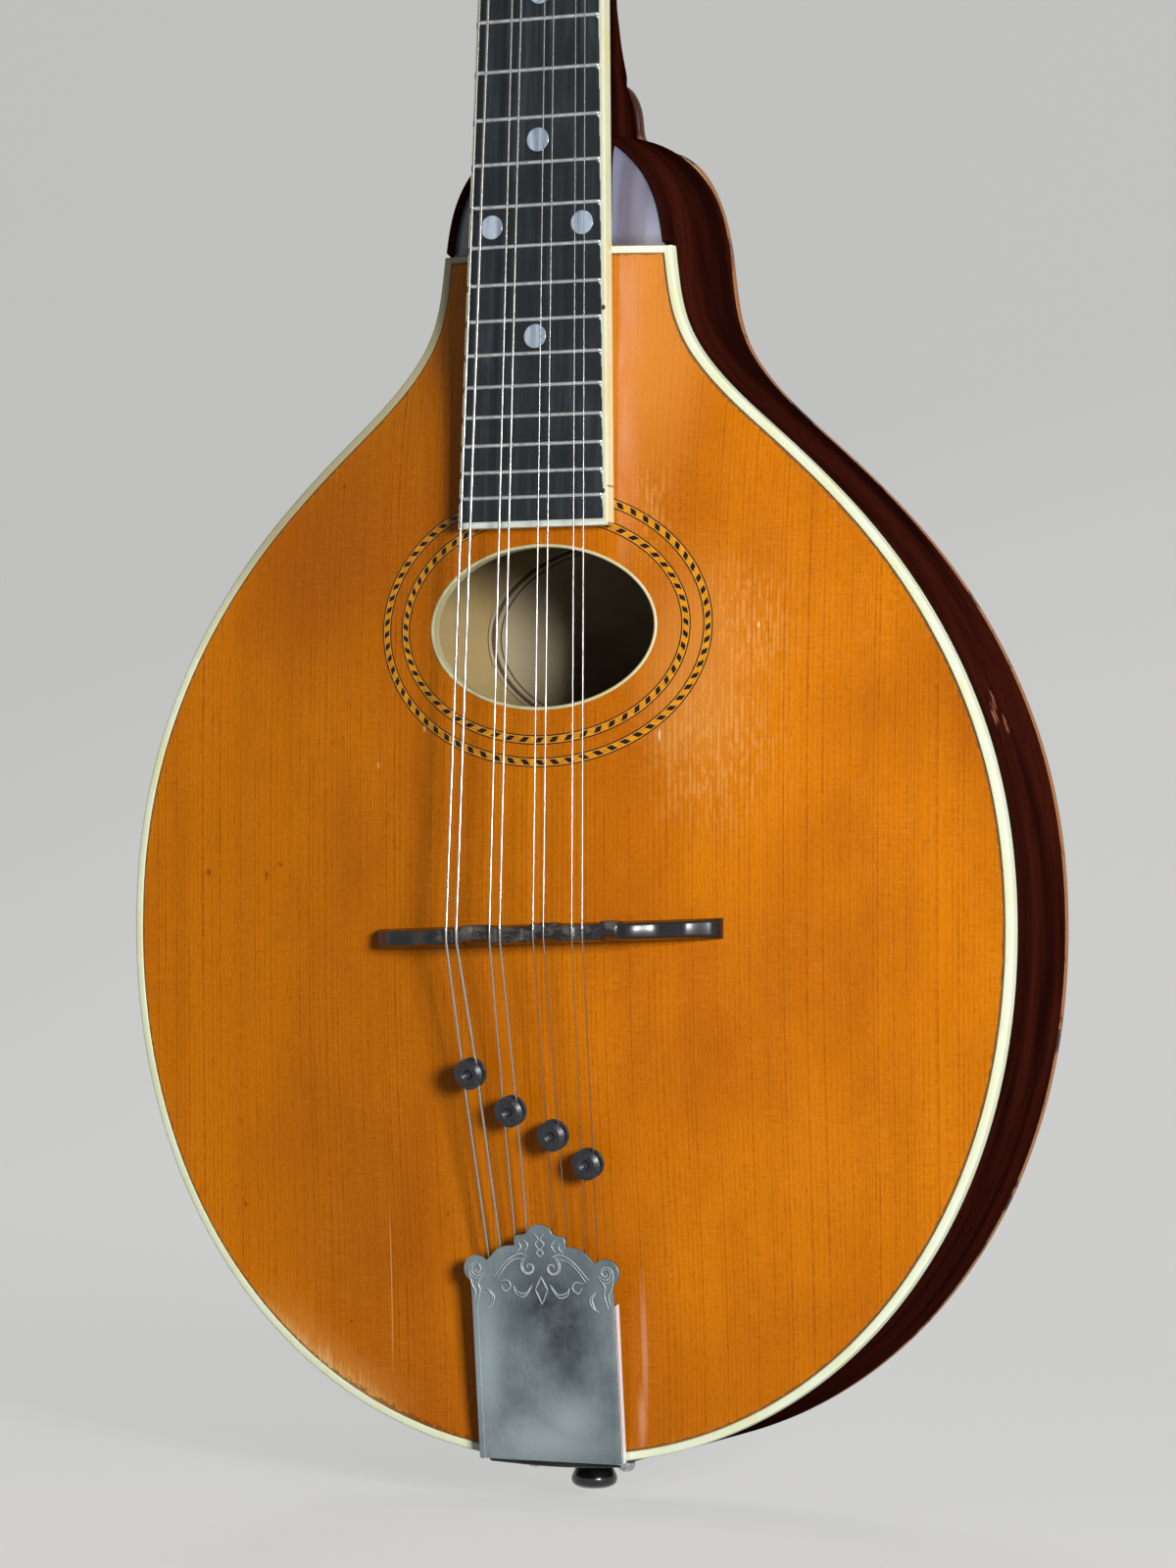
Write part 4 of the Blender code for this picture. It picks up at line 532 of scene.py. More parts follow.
def bridgeFinish():
    # Glossy black wings and a worn, grey-brown saddle with a dull top
    material = ebonyFinish("ebonyBridge", (0.004, 0.004, 0.006), (0.012, 0.012, 0.016), 0.30, 0.1, 0.42)
    tree = material.node_tree
    shader = tree.nodes["Principled BSDF"]
    below = shader.inputs["Base Color"].links[0].from_socket
    shine = shader.inputs["Roughness"].links[0].from_socket
    here = objectPlace(tree)
    place = split(tree, here)
    wear = noise(tree, stretch(tree, here, (240, 120, 420)), 1.0, 4.0, 0.65)
    middle = step(tree, calc(tree, "ABSOLUTE", calc(tree, "SUBTRACT", place[0], 0.0012)), 0.0262, 0.0248)
    top = calc(tree, "MULTIPLY", step(tree, place[1], -0.0205, -0.0222), middle)
    worn = calc(tree, "MULTIPLY", top, step(tree, wear, 0.42, 0.62))
    feed(tree, mix(tree, calc(tree, "MULTIPLY", worn, 0.80), below, (0.120, 0.105, 0.090)), shader.inputs["Base Color"])
    feed(tree, calc(tree, "MULTIPLY_ADD", top, 0.22, shine), shader.inputs["Roughness"])
    return material


def pearlFinish():
    material, tree, shader = newFinish("pearl", 0.18, specular=0.5, coat=0.3, coatRoughness=0.08)
    here = objectPlace(tree)
    waves = noise(tree, stretch(tree, here, (260, 260, 110)), 1.0, 3.0, 0.5, 1.2)
    base = mix(tree, step(tree, waves, 0.30, 0.70), (0.33, 0.42, 0.55), (0.47, 0.56, 0.68))
    feed(tree, base, shader.inputs["Base Color"])
    return material


def nickelFinish(name, pale, dull, roughness, cloudScale=55.0):
    # Old plating: brushed up and down, with cloudy grey tarnish
    material, tree, shader = newFinish(name, roughness, metallic=1.0)
    here = objectPlace(tree)
    clouds = noise(tree, stretch(tree, here, (1.0, 1.0, 0.8)), cloudScale, 5.0, 0.6)
    brushed = noise(tree, stretch(tree, here, (2600, 2600, 90)), 1.0, 3.0, 0.6)
    pits = step(tree, noise(tree, here, 900.0, 2.0), 0.66, 0.76)
    base = mix(tree, step(tree, clouds, 0.36, 0.66), pale, dull)
    base = mix(tree, calc(tree, "MULTIPLY", step(tree, brushed, 0.40, 0.66), 0.35), base, dull)
    base = mix(tree, calc(tree, "MULTIPLY", pits, 0.35), base, tuple(channel * 0.3 for channel in dull))
    feed(tree, base, shader.inputs["Base Color"])
    rough = calc(tree, "MULTIPLY_ADD", clouds, 0.25, calc(tree, "MULTIPLY_ADD", brushed, 0.10, roughness - 0.16))
    feed(tree, rough, shader.inputs["Roughness"])
    relief(tree, shader, brushed, 0.00003, 0.25)
    return material


def fretFinish():
    # Fret metal: pale and bluish on its lower side; its upper side is painted brown as painted shade
    material = nickelFinish("fretSilver", (0.80, 0.86, 0.88), (0.55, 0.60, 0.62), 0.30, 500.0)
    tree = material.node_tree
    shader = tree.nodes["Principled BSDF"]
    below = shader.inputs["Base Color"].links[0].from_socket
    upward = split(tree, node(tree, "ShaderNodeNewGeometry").outputs["Normal"])[2]
    # painted shade: faces turned up the neck are mixed towards brown
    grimeAndShade = calc(tree, "MULTIPLY", step(tree, upward, 0.15, 0.60), 0.8)
    feed(tree, mix(tree, grimeAndShade, below, (0.26, 0.20, 0.14)), shader.inputs["Base Color"])
    return material


def coverFinish():
    # The cover's plating: darker and mottled in its upper middle, paler down the bass side and at the tail
    material = nickelFinish("nickelCover", (0.33, 0.405, 0.425), (0.19, 0.240, 0.262), 0.42)
    tree = material.node_tree
    shader = tree.nodes["Principled BSDF"]
    below = shader.inputs["Base Color"].links[0].from_socket
    here = objectPlace(tree)
    place = split(tree, here)
    mottle = noise(tree, here, 160.0, 4.0, 0.65)
    dark = spots(tree, place, ((0.0030, -0.4500, 0.019, 0.019), (0.0060, -0.4560, 0.014, 0.024)), 1.0)
    dark = calc(tree, "MULTIPLY", dark, calc(tree, "MULTIPLY_ADD", mottle, 1.4, 0.15))
    base = mix(tree, dark, below, (0.052, 0.068, 0.082))
    pale = spots(tree, place, ((-0.0165, -0.4640, 0.007, 0.030), (0.0, -0.4850, 0.024, 0.010),
                               (0.0060, -0.4800, 0.014, 0.012)), 1.0)
    base = mix(tree, calc(tree, "MULTIPLY", pale, 0.65), base, (0.54, 0.64, 0.66))
    feed(tree, base, shader.inputs["Base Color"])
    return material


def flangeFinish():
    # The cover's plating on its bent sides. Faces turned to +X, towards the key lamp, are painted pale and less
    # metallic as a painted highlight, with a dark line along them as a painted reflection
    material = coverFinish()
    material.name = "nickelFlange"
    tree = material.node_tree
    shader = tree.nodes["Principled BSDF"]
    below = shader.inputs["Base Color"].links[0].from_socket
    here = objectPlace(tree)
    place = split(tree, here)
    # painted highlight: only faces turned to +X take the pale colour and lose metallic
    sideways = split(tree, node(tree, "ShaderNodeNewGeometry").outputs["Normal"])[0]
    outward = step(tree, sideways, 0.12, 0.40)
    # depth below the cover's face: 0.0042 + 0.118 (z - z of its lower end) + y
    start = 0.0042 - 0.118 * (-0.1763 - 0.3150 + 0.0008)
    depth = calc(tree, "ADD", calc(tree, "MULTIPLY_ADD", place[2], 0.118, start), place[1])
    line = step(tree, calc(tree, "ABSOLUTE", calc(tree, "SUBTRACT", depth, 0.0011)), 0.00028, 0.00014)
    pale = mix(tree, line, (0.84, 0.88, 0.97), (0.10, 0.11, 0.15))
    feed(tree, mix(tree, outward, below, pale), shader.inputs["Base Color"])
    feed(tree, calc(tree, "MULTIPLY_ADD", outward, -0.85, 1.0), shader.inputs["Metallic"])
    return material


def rubberFinish():
    material, tree, shader = newFinish("blackRubber", 0.34, specular=0.5)
    here = objectPlace(tree)
    grain = noise(tree, here, 900.0, 3.0, 0.6)
    base = mix(tree, step(tree, grain, 0.35, 0.75), (0.008, 0.009, 0.012), (0.030, 0.034, 0.044))
    feed(tree, base, shader.inputs["Base Color"])
    feed(tree, calc(tree, "MULTIPLY_ADD", grain, 0.3, 0.20), shader.inputs["Roughness"])
    relief(tree, shader, grain, 0.00005, 0.4)
    return material


def wireFinish(name, colour, behind, wound):
    # UV: first number is the length along the wire in metres. A wound wire has its wrap as fine ridges.
    # Behind the bridge the plain wires are brown with age.
    material, tree, shader = newFinish(name, 0.22, metallic=1.0)
    along = split(tree, surfacePlace(tree))[0]
    here = objectPlace(tree)
    place = split(tree, here)
    aged = step(tree, place[2], -0.3560, -0.3600)
    spotted = noise(tree, here, 1300.0, 2.0)
    base = mix(tree, aged, colour, behind)
    base = mix(tree, calc(tree, "MULTIPLY", step(tree, spotted, 0.5, 0.7), 0.35), base, (0.20, 0.17, 0.13))
    feed(tree, base, shader.inputs["Base Color"])
    if wound:
        ridges = calc(tree, "SINE", calc(tree, "MULTIPLY", along, 2 * math.pi / 0.00030))
        relief(tree, shader, ridges, 0.00001, 0.05)
    return material


def plasticFinish(name, pale, warm):
    material, tree, shader = newFinish(name, 0.28, specular=0.5, coat=0.3, coatRoughness=0.1)
    here = objectPlace(tree)
    swirl = noise(tree, stretch(tree, here, (60, 200, 200)), 1.0, 3.0, 0.5, 1.5)
    feed(tree, mix(tree, step(tree, swirl, 0.35, 0.70), pale, warm), shader.inputs["Base Color"])
    relief(tree, shader, swirl, 0.00005, 0.2)
    return material


finishes = dict(
    top=spruceFinish(),
    raw=rawSpruceFinish(),
    sides=sideFinish(),
    back=redBrownFinish("redBrownBack", plate=True),
    neck=redBrownFinish("redBrownNeck"),
    shoulder=shoulderFinish(),
    binding=creamFinish("creamBinding", (0.86, 0.94, 0.72)),
    boardBinding=creamFinish("creamBoardEdging", (0.78, 0.78, 0.54), 0.35, chipped=True),
    holeBinding=creamFinish("creamHoleBinding", (0.70, 0.66, 0.42), 0.4),
    ropeInner=ropeFinish("ropeInner", 59, 0.55),
    ropeOuter=ropeFinish("ropeOuter", 69, -0.55),
    paper=paperFinish(),
    board=boardFinish(),
    bridge=bridgeFinish(),
    veneer=ebonyFinish("ebonyVeneer", (0.008, 0.007, 0.007), (0.030, 0.026, 0.024), 0.30, 0.3),
    pin=ebonyFinish("blackPin", (0.005, 0.005, 0.006), (0.016, 0.015, 0.016), 0.22, 0.4, 0.5),
    pearl=pearlFinish(),
    nickel=coverFinish(),
    flange=flangeFinish(),
    engraving=nickelFinish("engravedNickel", (0.80, 0.86, 0.88), (0.55, 0.61, 0.63), 0.40, 300.0),
    engravingShade=nickelFinish("engravedShade", (0.060, 0.075, 0.090), (0.035, 0.045, 0.055), 0.50, 300.0),
    bright=nickelFinish("brightNickel", (0.74, 0.75, 0.74), (0.42, 0.43, 0.42), 0.22, 140.0),
    # painted shade: the tailpiece's base and rails are painted nearly black, as shade under the cover
    shadedBaseMetal=nickelFinish("shadedBase", (0.050, 0.050, 0.052), (0.025, 0.025, 0.026), 0.40, 120.0),
    fret=fretFinish(),
    tuner=nickelFinish("tunerMetal", (0.55, 0.50, 0.40), (0.30, 0.26, 0.19), 0.35, 160.0),
    rubber=rubberFinish(),
    wound=wireFinish("woundWire", (0.36, 0.36, 0.35), (0.42, 0.40, 0.36), True),
    plain=wireFinish("plainWire", (0.36, 0.36, 0.37), (0.36, 0.20, 0.10), False),
    bone=plasticFinish("oldBone", (0.72, 0.66, 0.50), (0.55, 0.46, 0.30)),
    button=plasticFinish("ivoryButton", (0.76, 0.70, 0.52), (0.60, 0.50, 0.32)),
)
print("finishes made:", len(finishes))


# Meshes from arrays

def skin(name, points, finish, wrapU=False, wrapV=True, capU=False, uv=None, sharp=38.0, rideOn="root"):
    # points[i, j] is a grid of places. Rows join to the next row and columns to the next column, wrapU and
    # wrapV close them, and capU fills the first and last row. Faces are turned to point outwards.
    rows, cols = points.shape[:2]
    index = np.arange(rows * cols).reshape(rows, cols)
    if wrapU:
        index = np.vstack([index, index[:1]])
    if wrapV:
        index = np.hstack([index, index[:, :1]])
    high, wide = index.shape
    if uv is None:
        u, v = np.meshgrid(np.linspace(0, 1, high), np.linspace(0, 1, wide), indexing="ij")
        uv = np.stack([u, v], axis=-1)
    corners = ((slice(None, -1), slice(None, -1)), (slice(1, None), slice(None, -1)),
               (slice(1, None), slice(1, None)), (slice(None, -1), slice(1, None)))
    quads = np.stack([index[corner] for corner in corners], axis=-1).reshape(-1, 4)
    quadUv = np.stack([uv[corner] for corner in corners], axis=-2).reshape(-1, 2)
    flat = points.reshape(-1, 3)
    middle = flat.mean(axis=0)
    a, b, c, d = (flat[quads[:, k]] - middle for k in range(4))
    volume = (np.cross(a, b) * c).sum() + (np.cross(a, c) * d).sum()
    faces = quads.tolist()
    capUv = []
    if capU:
        first = index[0, :-1]
        last = index[-1, :-1][::-1]
        for ring, level in ((first, uv[0, :-1]), (last, uv[-1, :-1][::-1])):
            ringPlaces = flat[ring] - middle
            around = np.cross(ringPlaces[1:-1] - ringPlaces[0], ringPlaces[2:] - ringPlaces[0]).sum(axis=0)
            volume += around @ ringPlaces[0]
            faces.append(ring.tolist())
            capUv.append(level)
    allUv = np.concatenate([quadUv] + capUv)
    if volume < 0:
        faces = [face[::-1] for face in faces]
        parts = [quadUv.reshape(-1, 4, 2)[:, ::-1].reshape(-1, 2)] + [level[::-1] for level in capUv]
        allUv = np.concatenate(parts)
    mesh = bpy.data.meshes.new(name)
    mesh.from_pydata(flat.tolist(), [], faces)
    layer = mesh.uv_layers.new(name="UVMap")
    layer.data.foreach_set("uv", allUv.astype(np.float32).ravel())
    mesh.shade_smooth()
    mesh.set_sharp_from_angle(angle=math.radians(sharp))
    return placed(name, mesh, finish, rideOn)


def placed(name, mesh, finish, rideOn):
    mesh.materials.append(finishes[finish])
    obj = bpy.data.objects.new(name, mesh)
    bpy.context.scene.collection.objects.link(obj)
    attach(obj, rideOn)
    return obj


def merged(name, pieces):
    # One object from several
    for piece in pieces[1:]:
        piece.name = name + "_part"
    with bpy.context.temp_override(active_object=pieces[0], selected_editable_objects=pieces):
        bpy.ops.object.join()
    pieces[0].name = name
    return pieces[0]


def at(across, height, out):
    across, height, out = np.broadcast_arrays(across, height, out)
    return np.stack([across, -out, height], axis=-1)


def softCorners(points, radius, steps=4, closed=False):
    # Each corner P between A and B is rounded by the curve (1-t)^2 A + 2t(1-t) P + t^2 B
    points = np.asarray(points, float)
    before = np.roll(points, 1, axis=0) - points
    after = np.roll(points, -1, axis=0) - points
    reachBefore = np.linalg.norm(before, axis=1, keepdims=True)
    reachAfter = np.linalg.norm(after, axis=1, keepdims=True)
    a = points + before / np.maximum(reachBefore, 1e-9) * np.minimum(radius, reachBefore * 0.45)
    b = points + after / np.maximum(reachAfter, 1e-9) * np.minimum(radius, reachAfter * 0.45)
    if not closed:
        a[0] = b[0] = points[0]
        a[-1] = b[-1] = points[-1]
    t = np.linspace(0, 1, steps)[None, :, None]
    curve = (1 - t) ** 2 * a[:, None] + 2 * t * (1 - t) * points[:, None] + t**2 * b[:, None]
    curve = curve.reshape(-1, points.shape[1])
    if not closed:
        curve = np.concatenate([curve[:1], curve[steps:-steps], curve[-1:]])
    return curve


def flowing(marks, count):
    # A smooth row through marks: cubic pieces whose slopes are half the step between each mark's neighbours
    marks = np.asarray(marks, float)
    slope = np.gradient(marks, axis=0)
    t = np.linspace(0, len(marks) - 1, count)
    i = np.minimum(t.astype(int), len(marks) - 2)
    f = (t - i)[:, None]
    return ((2 * f**3 - 3 * f**2 + 1) * marks[i] + (f**3 - 2 * f**2 + f) * slope[i]
            + (3 * f**2 - 2 * f**3) * marks[i + 1] + (f**3 - f**2) * slope[i + 1])


def turnedPoints(profile, sides=48):
    # Revolves (radius, height) about Z: (r cos a, r sin a, h)
    profile = np.asarray(profile, float)
    a = np.linspace(0, 2 * math.pi, sides, endpoint=False)
    radius = np.maximum(profile[:, :1], 1e-5)
    return np.stack([radius * np.cos(a), radius * np.sin(a), np.broadcast_to(profile[:, 1:], (len(profile), sides))],
                    axis=-1)


def moved(points, matrix):
    turn = np.array(matrix.to_3x3())
    return points @ turn.T + np.array(matrix.translation)


def tube(name, path, radius, sides, finish, ends=True, reference=(0.0, -0.966, 0.259), rideOn="root"):
    # A ring of the given radius carried along the path. UV: metres along, and once round.
    path = np.asarray(path, float)
    tangent = np.gradient(path, axis=0)
    tangent /= np.linalg.norm(tangent, axis=1, keepdims=True)
    sideways = np.cross(tangent, np.array(reference))
    sideways /= np.linalg.norm(sideways, axis=1, keepdims=True)
    upward = np.cross(sideways, tangent)
    a = np.linspace(0, 2 * math.pi, sides, endpoint=False)
    radius = np.broadcast_to(radius, (len(path),))[:, None, None]
    ring = sideways[:, None] * np.cos(a)[None, :, None] + upward[:, None] * np.sin(a)[None, :, None]
    points = path[:, None] + ring * radius
    run = np.concatenate([[0], np.cumsum(np.linalg.norm(np.diff(path, axis=0), axis=1))])
    u, v = np.meshgrid(run, np.linspace(0, 1, sides + 1), indexing="ij")
    return skin(name, points, finish, capU=ends, uv=np.stack([u, v], axis=-1), rideOn=rideOn)


# Body outline, shared by the top, sides, back and edging

body = dict(neckLine=-0.1763, length=0.3150, boutLength=0.1389, squareness=2.09, width=0.2500,
            shoulderWidth=0.0646, rise=0.0338, riseBack=0.0350, rimDepth=0.0447, wall=0.0036, ribWall=0.0018,
            topCrown=0.0110, backCrown=0.0120, bindingWidth=0.0023, bindingDepth=0.0040, crossWidth=0.0020,
            buttonWidth=0.0142, buttonReach=0.0496, seat=0.0003,
            waist=((0.945, 0.235), (0.822, 0.400), (0.621, 0.560), (0.320, 0.720), (0.150, 0.803), (0.042, 0.885)))
tailLine = body["neckLine"] - body["length"]
boutLine = tailLine + body["boutLength"]


def smoothLoop(knots, steps):
    # The periodic cubic through the knots with continuous curvature, and its outward normals
    knots = np.array(knots, float)
    count = len(knots)
    ahead = np.roll(knots, -1, axis=0)
    behind = np.roll(knots, 1, axis=0)
    reach = np.linalg.norm(ahead - knots, axis=1)
    past = np.roll(reach, 1)
    rows = np.arange(count)
    system = np.zeros((count, count))
    system[rows, rows - 1] = reach
    system[rows, rows] = 2 * (reach + past)
    system[rows, (rows + 1) % count] = past
    right = 3 * (reach / past)[:, None] * (knots - behind) + 3 * (past / reach)[:, None] * (ahead - knots)
    slope = np.linalg.solve(system, right)
    t = (np.arange(steps) / steps)[None, :, None]
    start, end = knots[:, None], ahead[:, None]
    pull = slope[:, None] * reach[:, None, None]
    pullEnd = np.roll(slope, -1, axis=0)[:, None] * reach[:, None, None]
    place = ((2 * t**3 - 3 * t**2 + 1) * start + (t**3 - 2 * t**2 + t) * pull
             + (3 * t**2 - 2 * t**3) * end + (t**3 - t**2) * pullEnd)
    along = ((6 * t**2 - 6 * t) * (start - end) + (3 * t**2 - 4 * t + 1) * pull + (3 * t**2 - 2 * t) * pullEnd)
    normal = np.stack([along[..., 1], -along[..., 0]], axis=-1)
    normal /= np.linalg.norm(normal, axis=-1, keepdims=True)
    return place.reshape(-1, 2), normal.reshape(-1, 2)


def outlineKnots(rise, button=False):
    # Below, (half sin(a)^p, length cos(a)^p) with p = 2 / squareness; waist shares above, a small elliptic
    # shoulder, and on the back the heel's button
    half, corner = body["width"] / 2, body["shoulderWidth"] / 2
    neckLine, upper = body["neckLine"], body["length"] - body["boutLength"]
    power = 2 / body["squareness"]
    side = [(half * math.sin(a) ** power, boutLine - body["boutLength"] * abs(math.cos(a)) ** power)
            for a in np.radians((18, 36, 54, 72, 90))]
    side += [(corner + (half - corner) * wide, boutLine + upper * high) for wide, high in body["waist"]]
    side.append((corner, neckLine))
    side += [(corner * math.cos(math.radians(a)), neckLine + rise * math.sin(math.radians(a))) for a in (30, 60)]
    top = [(0.0, neckLine + rise)]
    if button:
        root = body["buttonWidth"] / 2
        lift = neckLine + rise * math.sqrt(1 - (root / corner) ** 2)
        tip = neckLine + body["buttonReach"]
        side += [(root, lift), (root * 0.76, lift + (tip - lift) * 0.55)]
        top = [(0.0, tip)]
    return [(0.0, tailLine)] + side + top + [(-x, y) for x, y in reversed(side)]


fineness = 16
frontLoop, frontNormal = smoothLoop(outlineKnots(body["rise"]), fineness)
backLoop, backNormal = smoothLoop(outlineKnots(body["riseBack"]), fineness)
buttonLoop, buttonNormal = smoothLoop(outlineKnots(body["riseBack"], True), fineness)
sideTable = frontLoop[:len(frontLoop) // 2 + 1]


def halfWidth(height, inset=0.0):
    edge = sideTable - frontNormal[:len(sideTable)] * inset
    return np.interp(height, edge[:, 1], edge[:, 0])


def crown(across, height, rise, tailPower, neckPower):
    # rise * (1 - h^2)^p * (1 - s^2)^q, where h runs to each end and s to each side
    above = np.clip((height - boutLine) / (body["neckLine"] + 0.036 - boutLine), 0, 0.9999)
    below = np.clip((boutLine - height) / (body["boutLength"] - body["bindingWidth"]), 0, 1)
    middle = np.where(height > boutLine, (1 - above**2) ** neckPower, (1 - below**2) ** tailPower)
    edge = np.maximum(halfWidth(height) - body["bindingWidth"], 0.002)
    share = np.clip(np.abs(across) / edge, 0, 1)
    way = np.clip((height - boutLine) / (body["neckLine"] - boutLine), 0, 1)
    return rise * middle * (1 - share**2) ** (2.2 - 1.2 * way)


def topFace(across, height):
    return crown(across, height, body["topCrown"], 2.3, 0.456)


def backFace(across, height):
    return -body["rimDepth"] - crown(across, height, body["backCrown"], 1.5, 0.9)


# Top with its sound hole, rings and edging

hole = dict(height=body["neckLine"] - 0.0985, width=0.0626, tall=0.0413, binding=0.0009,
            innerRing=0.0073, outerRing=0.0131, ringWidth=0.0025)


def holeLoop(way, offset):
    return np.stack([(hole["width"] / 2 + offset) * way[:, 0],
                     hole["height"] + (hole["tall"] / 2 + offset) * way[:, 1]], axis=-1)


def makeTop():
    # Rays from the edge to the hole, lifted to the crown, round the hole's lip and back along the underside.
    # UV: once round, and metres from the edge, below 0 on the underside.
    edge = frontLoop - frontNormal * body["bindingWidth"]
    edge[:, 1] = np.minimum(edge[:, 1], body["neckLine"] - body["crossWidth"])
    way = (edge - np.array([0.0, hole["height"]])) / np.array([hole["width"], hole["tall"]])
    way /= np.linalg.norm(way, axis=1, keepdims=True)
    lip = holeLoop(way, hole["binding"])
    share = np.linspace(0, 1, 56)[:, None, None]
    over = edge + (lip - edge) * share
    under = over[::-1][::4]
    top = at(over[..., 0], over[..., 1], topFace(over[..., 0], over[..., 1]))
    low = at(under[..., 0], under[..., 1], topFace(under[..., 0], under[..., 1]) - body["wall"])
    run = np.linalg.norm(over - edge, axis=-1)
    away = np.concatenate([run, np.full(low.shape[:2], -0.01), run[:1]])
    away = np.concatenate([away, away[:, :1]], axis=1)
    around = np.broadcast_to(np.linspace(0, 1, away.shape[1]), away.shape)
    obj = skin("top_plate", np.concatenate([top, low]), "top", wrapU=True,
               uv=np.stack([around, away], axis=-1))
    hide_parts("soundboard")


def ringAround(name, inner, width, low, lift, finish, node_, corner=0.0):
    # A band round the hole with a rectangular section. UV: once round, and across.
    a = np.linspace(0, 2 * math.pi, 360, endpoint=False)
    way = np.stack([np.cos(a), np.sin(a)], axis=-1)
    section = [(0.0, low), (0.0, lift), (width, lift), (width, low)]
    section = softCorners(section, corner, 4, closed=True) if corner else np.array(section)
    loops = []
    for offset, rise in section:
        loop = holeLoop(way, inner + offset)
        loops.append(at(*loop.T, topFace(*loop.T) + rise))
    points = np.stack(loops, axis=1)
    u, v = np.meshgrid(np.linspace(0, 1, 361), np.append(section[:, 0] / width, section[0, 0] / width), indexing="ij")
    obj = skin(name, points, finish, wrapU=True, uv=np.stack([u, v], axis=-1))
    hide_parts(node_)


def makeEdging():
    # The section (inset, out) carried round the outline and squared off at the neck end
    width, depth = body["bindingWidth"], body["bindingDepth"]
    section = softCorners([(0.0, -depth), (0.0, 0.0), (width, 0.0), (width, -depth)], 0.0006, 5, closed=True)
    loops = []
    for inset, out in section:
        loop = frontLoop - frontNormal * inset
        cross = body["crossWidth"] * inset / width
        loop = np.stack([loop[:, 0], np.minimum(loop[:, 1], body["neckLine"] - cross)], axis=-1)
        face = topFace(loop[:, 0], np.minimum(loop[:, 1], body["neckLine"] - 0.001))
        loops.append(at(*loop.T, out + face))
    obj = skin("top_edging", np.stack(loops, axis=1), "binding", wrapU=True)
    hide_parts("top_binding")


makeTop()
ringAround("hole_edging", 0.0, hole["binding"], -body["wall"], 0.0002, "holeBinding",
           "soundhole_binding", 0.0004)
ringAround("rope_ring_inner", hole["innerRing"], hole["ringWidth"], -0.0008, 0.00004, "ropeInner",
           "rosette_inner")
ringAround("rope_ring_outer", hole["outerRing"], hole["ringWidth"], -0.0008, 0.00004, "ropeOuter",
           "rosette_outer")
makeEdging()
print("top made")


# Sides and back

def makeSides():
    # A wall between the front and back outlines, lower under the edging and full height round the shoulder
    back = body["rimDepth"] - body["wall"]
    share = np.array([0.0, 0.0, 0.06, 0.25, 0.5, 0.75, 1.0, 1.0, 0.5, 0.0])
    inset = np.array([body["ribWall"], 0.0004, 0.0, 0.0, 0.0, 0.0, 0.0, body["ribWall"], body["ribWall"],
                      body["ribWall"]])
    front = np.where(frontLoop[:, 1] > body["neckLine"] + 0.0005, 0.0, -body["bindingDepth"])
    rows = []
    for part, wall in zip(share, inset):
        loop = (frontLoop - frontNormal * wall) * (1 - part) + (backLoop - backNormal * wall) * part
        rows.append(at(*loop.T, front * (1 - part) - back * part))
    obj = skin("sides", np.stack(rows, axis=1), "sides", wrapU=True)
    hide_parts("ribs")


def makeBack():
    # Rings shrunk towards a middle point, arched, with a rounded rim. UV's second number is the distance from
    # the edge, below 0 on the inside.
    centre = np.array([0.0, boutLine + 0.05])
    wall = body["wall"]
    rim = softCorners([(0.0030, 0.0), (0.0, 0.0), (0.0, wall), (0.0030, wall)], 0.0012, 5)
    rings, distance = [], []
    share = np.concatenate([[0.003], np.linspace(0.02, 1, 44)])[:, None, None]
    inner = buttonLoop - buttonNormal * 0.0030
    grown = centre + (inner - centre) * share
    outside = at(grown[..., 0], grown[..., 1], backFace(grown[..., 0], grown[..., 1]))
    inside = at(grown[..., 0], grown[..., 1], backFace(grown[..., 0], grown[..., 1]) + wall)[::-4]
    for inset, lift in rim:
        loop = buttonLoop - buttonNormal * inset
        rings.append(at(*loop.T, backFace(*loop.T) + lift))
        distance.append(inset if lift < wall - 0.0001 else -0.01)
    points = np.concatenate([outside, np.stack(rings), inside])
    fromEdge = np.concatenate([0.0030 + (1 - share[:, 0, 0]) * 0.1, distance, np.full(len(inside), -0.01)])
    u, v = np.meshgrid(np.linspace(0, 1, points.shape[1] + 1), fromEdge, indexing="xy")
    obj = skin("back_plate", points, "back", capU=True, uv=np.stack([u, v], axis=-1))
    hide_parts("back")


shoulder = dict(inset=0.0021, lift=0.0012, skirt=0.008, roundness=0.0024)


def makeShoulder():
    # A domed face between the end of the top and the rib: out = crown + lift - roundness * edge^4
    s = np.linspace(-1, 1, 61)
    t = np.linspace(0, 1, 30)
    height = body["neckLine"] + (body["rise"] - shoulder["inset"]) * np.sin(t * math.pi / 2)
    half = np.maximum(halfWidth(height, shoulder["inset"]), 0.0005)
    x = s[None, :] * half[:, None]
    h = np.broadcast_to(height[:, None], x.shape)
    edge = np.maximum(np.abs(s)[None, :] ** 6, (t**8)[:, None])
    out = topFace(x, h) + shoulder["lift"] - shoulder["roundness"] * edge
    face = at(x, h, out)
    floor = face + np.array([0.0, shoulder["skirt"], 0.0])
    points = np.concatenate([face[:, :, None], floor[:, :, None]], axis=2)
    rowsClosed = np.concatenate([points[:, :, 0], points[:, ::-1, 1]], axis=1)
    obj = skin("shoulder_face", rowsClosed, "shoulder", capU=True)
    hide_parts("head_block")


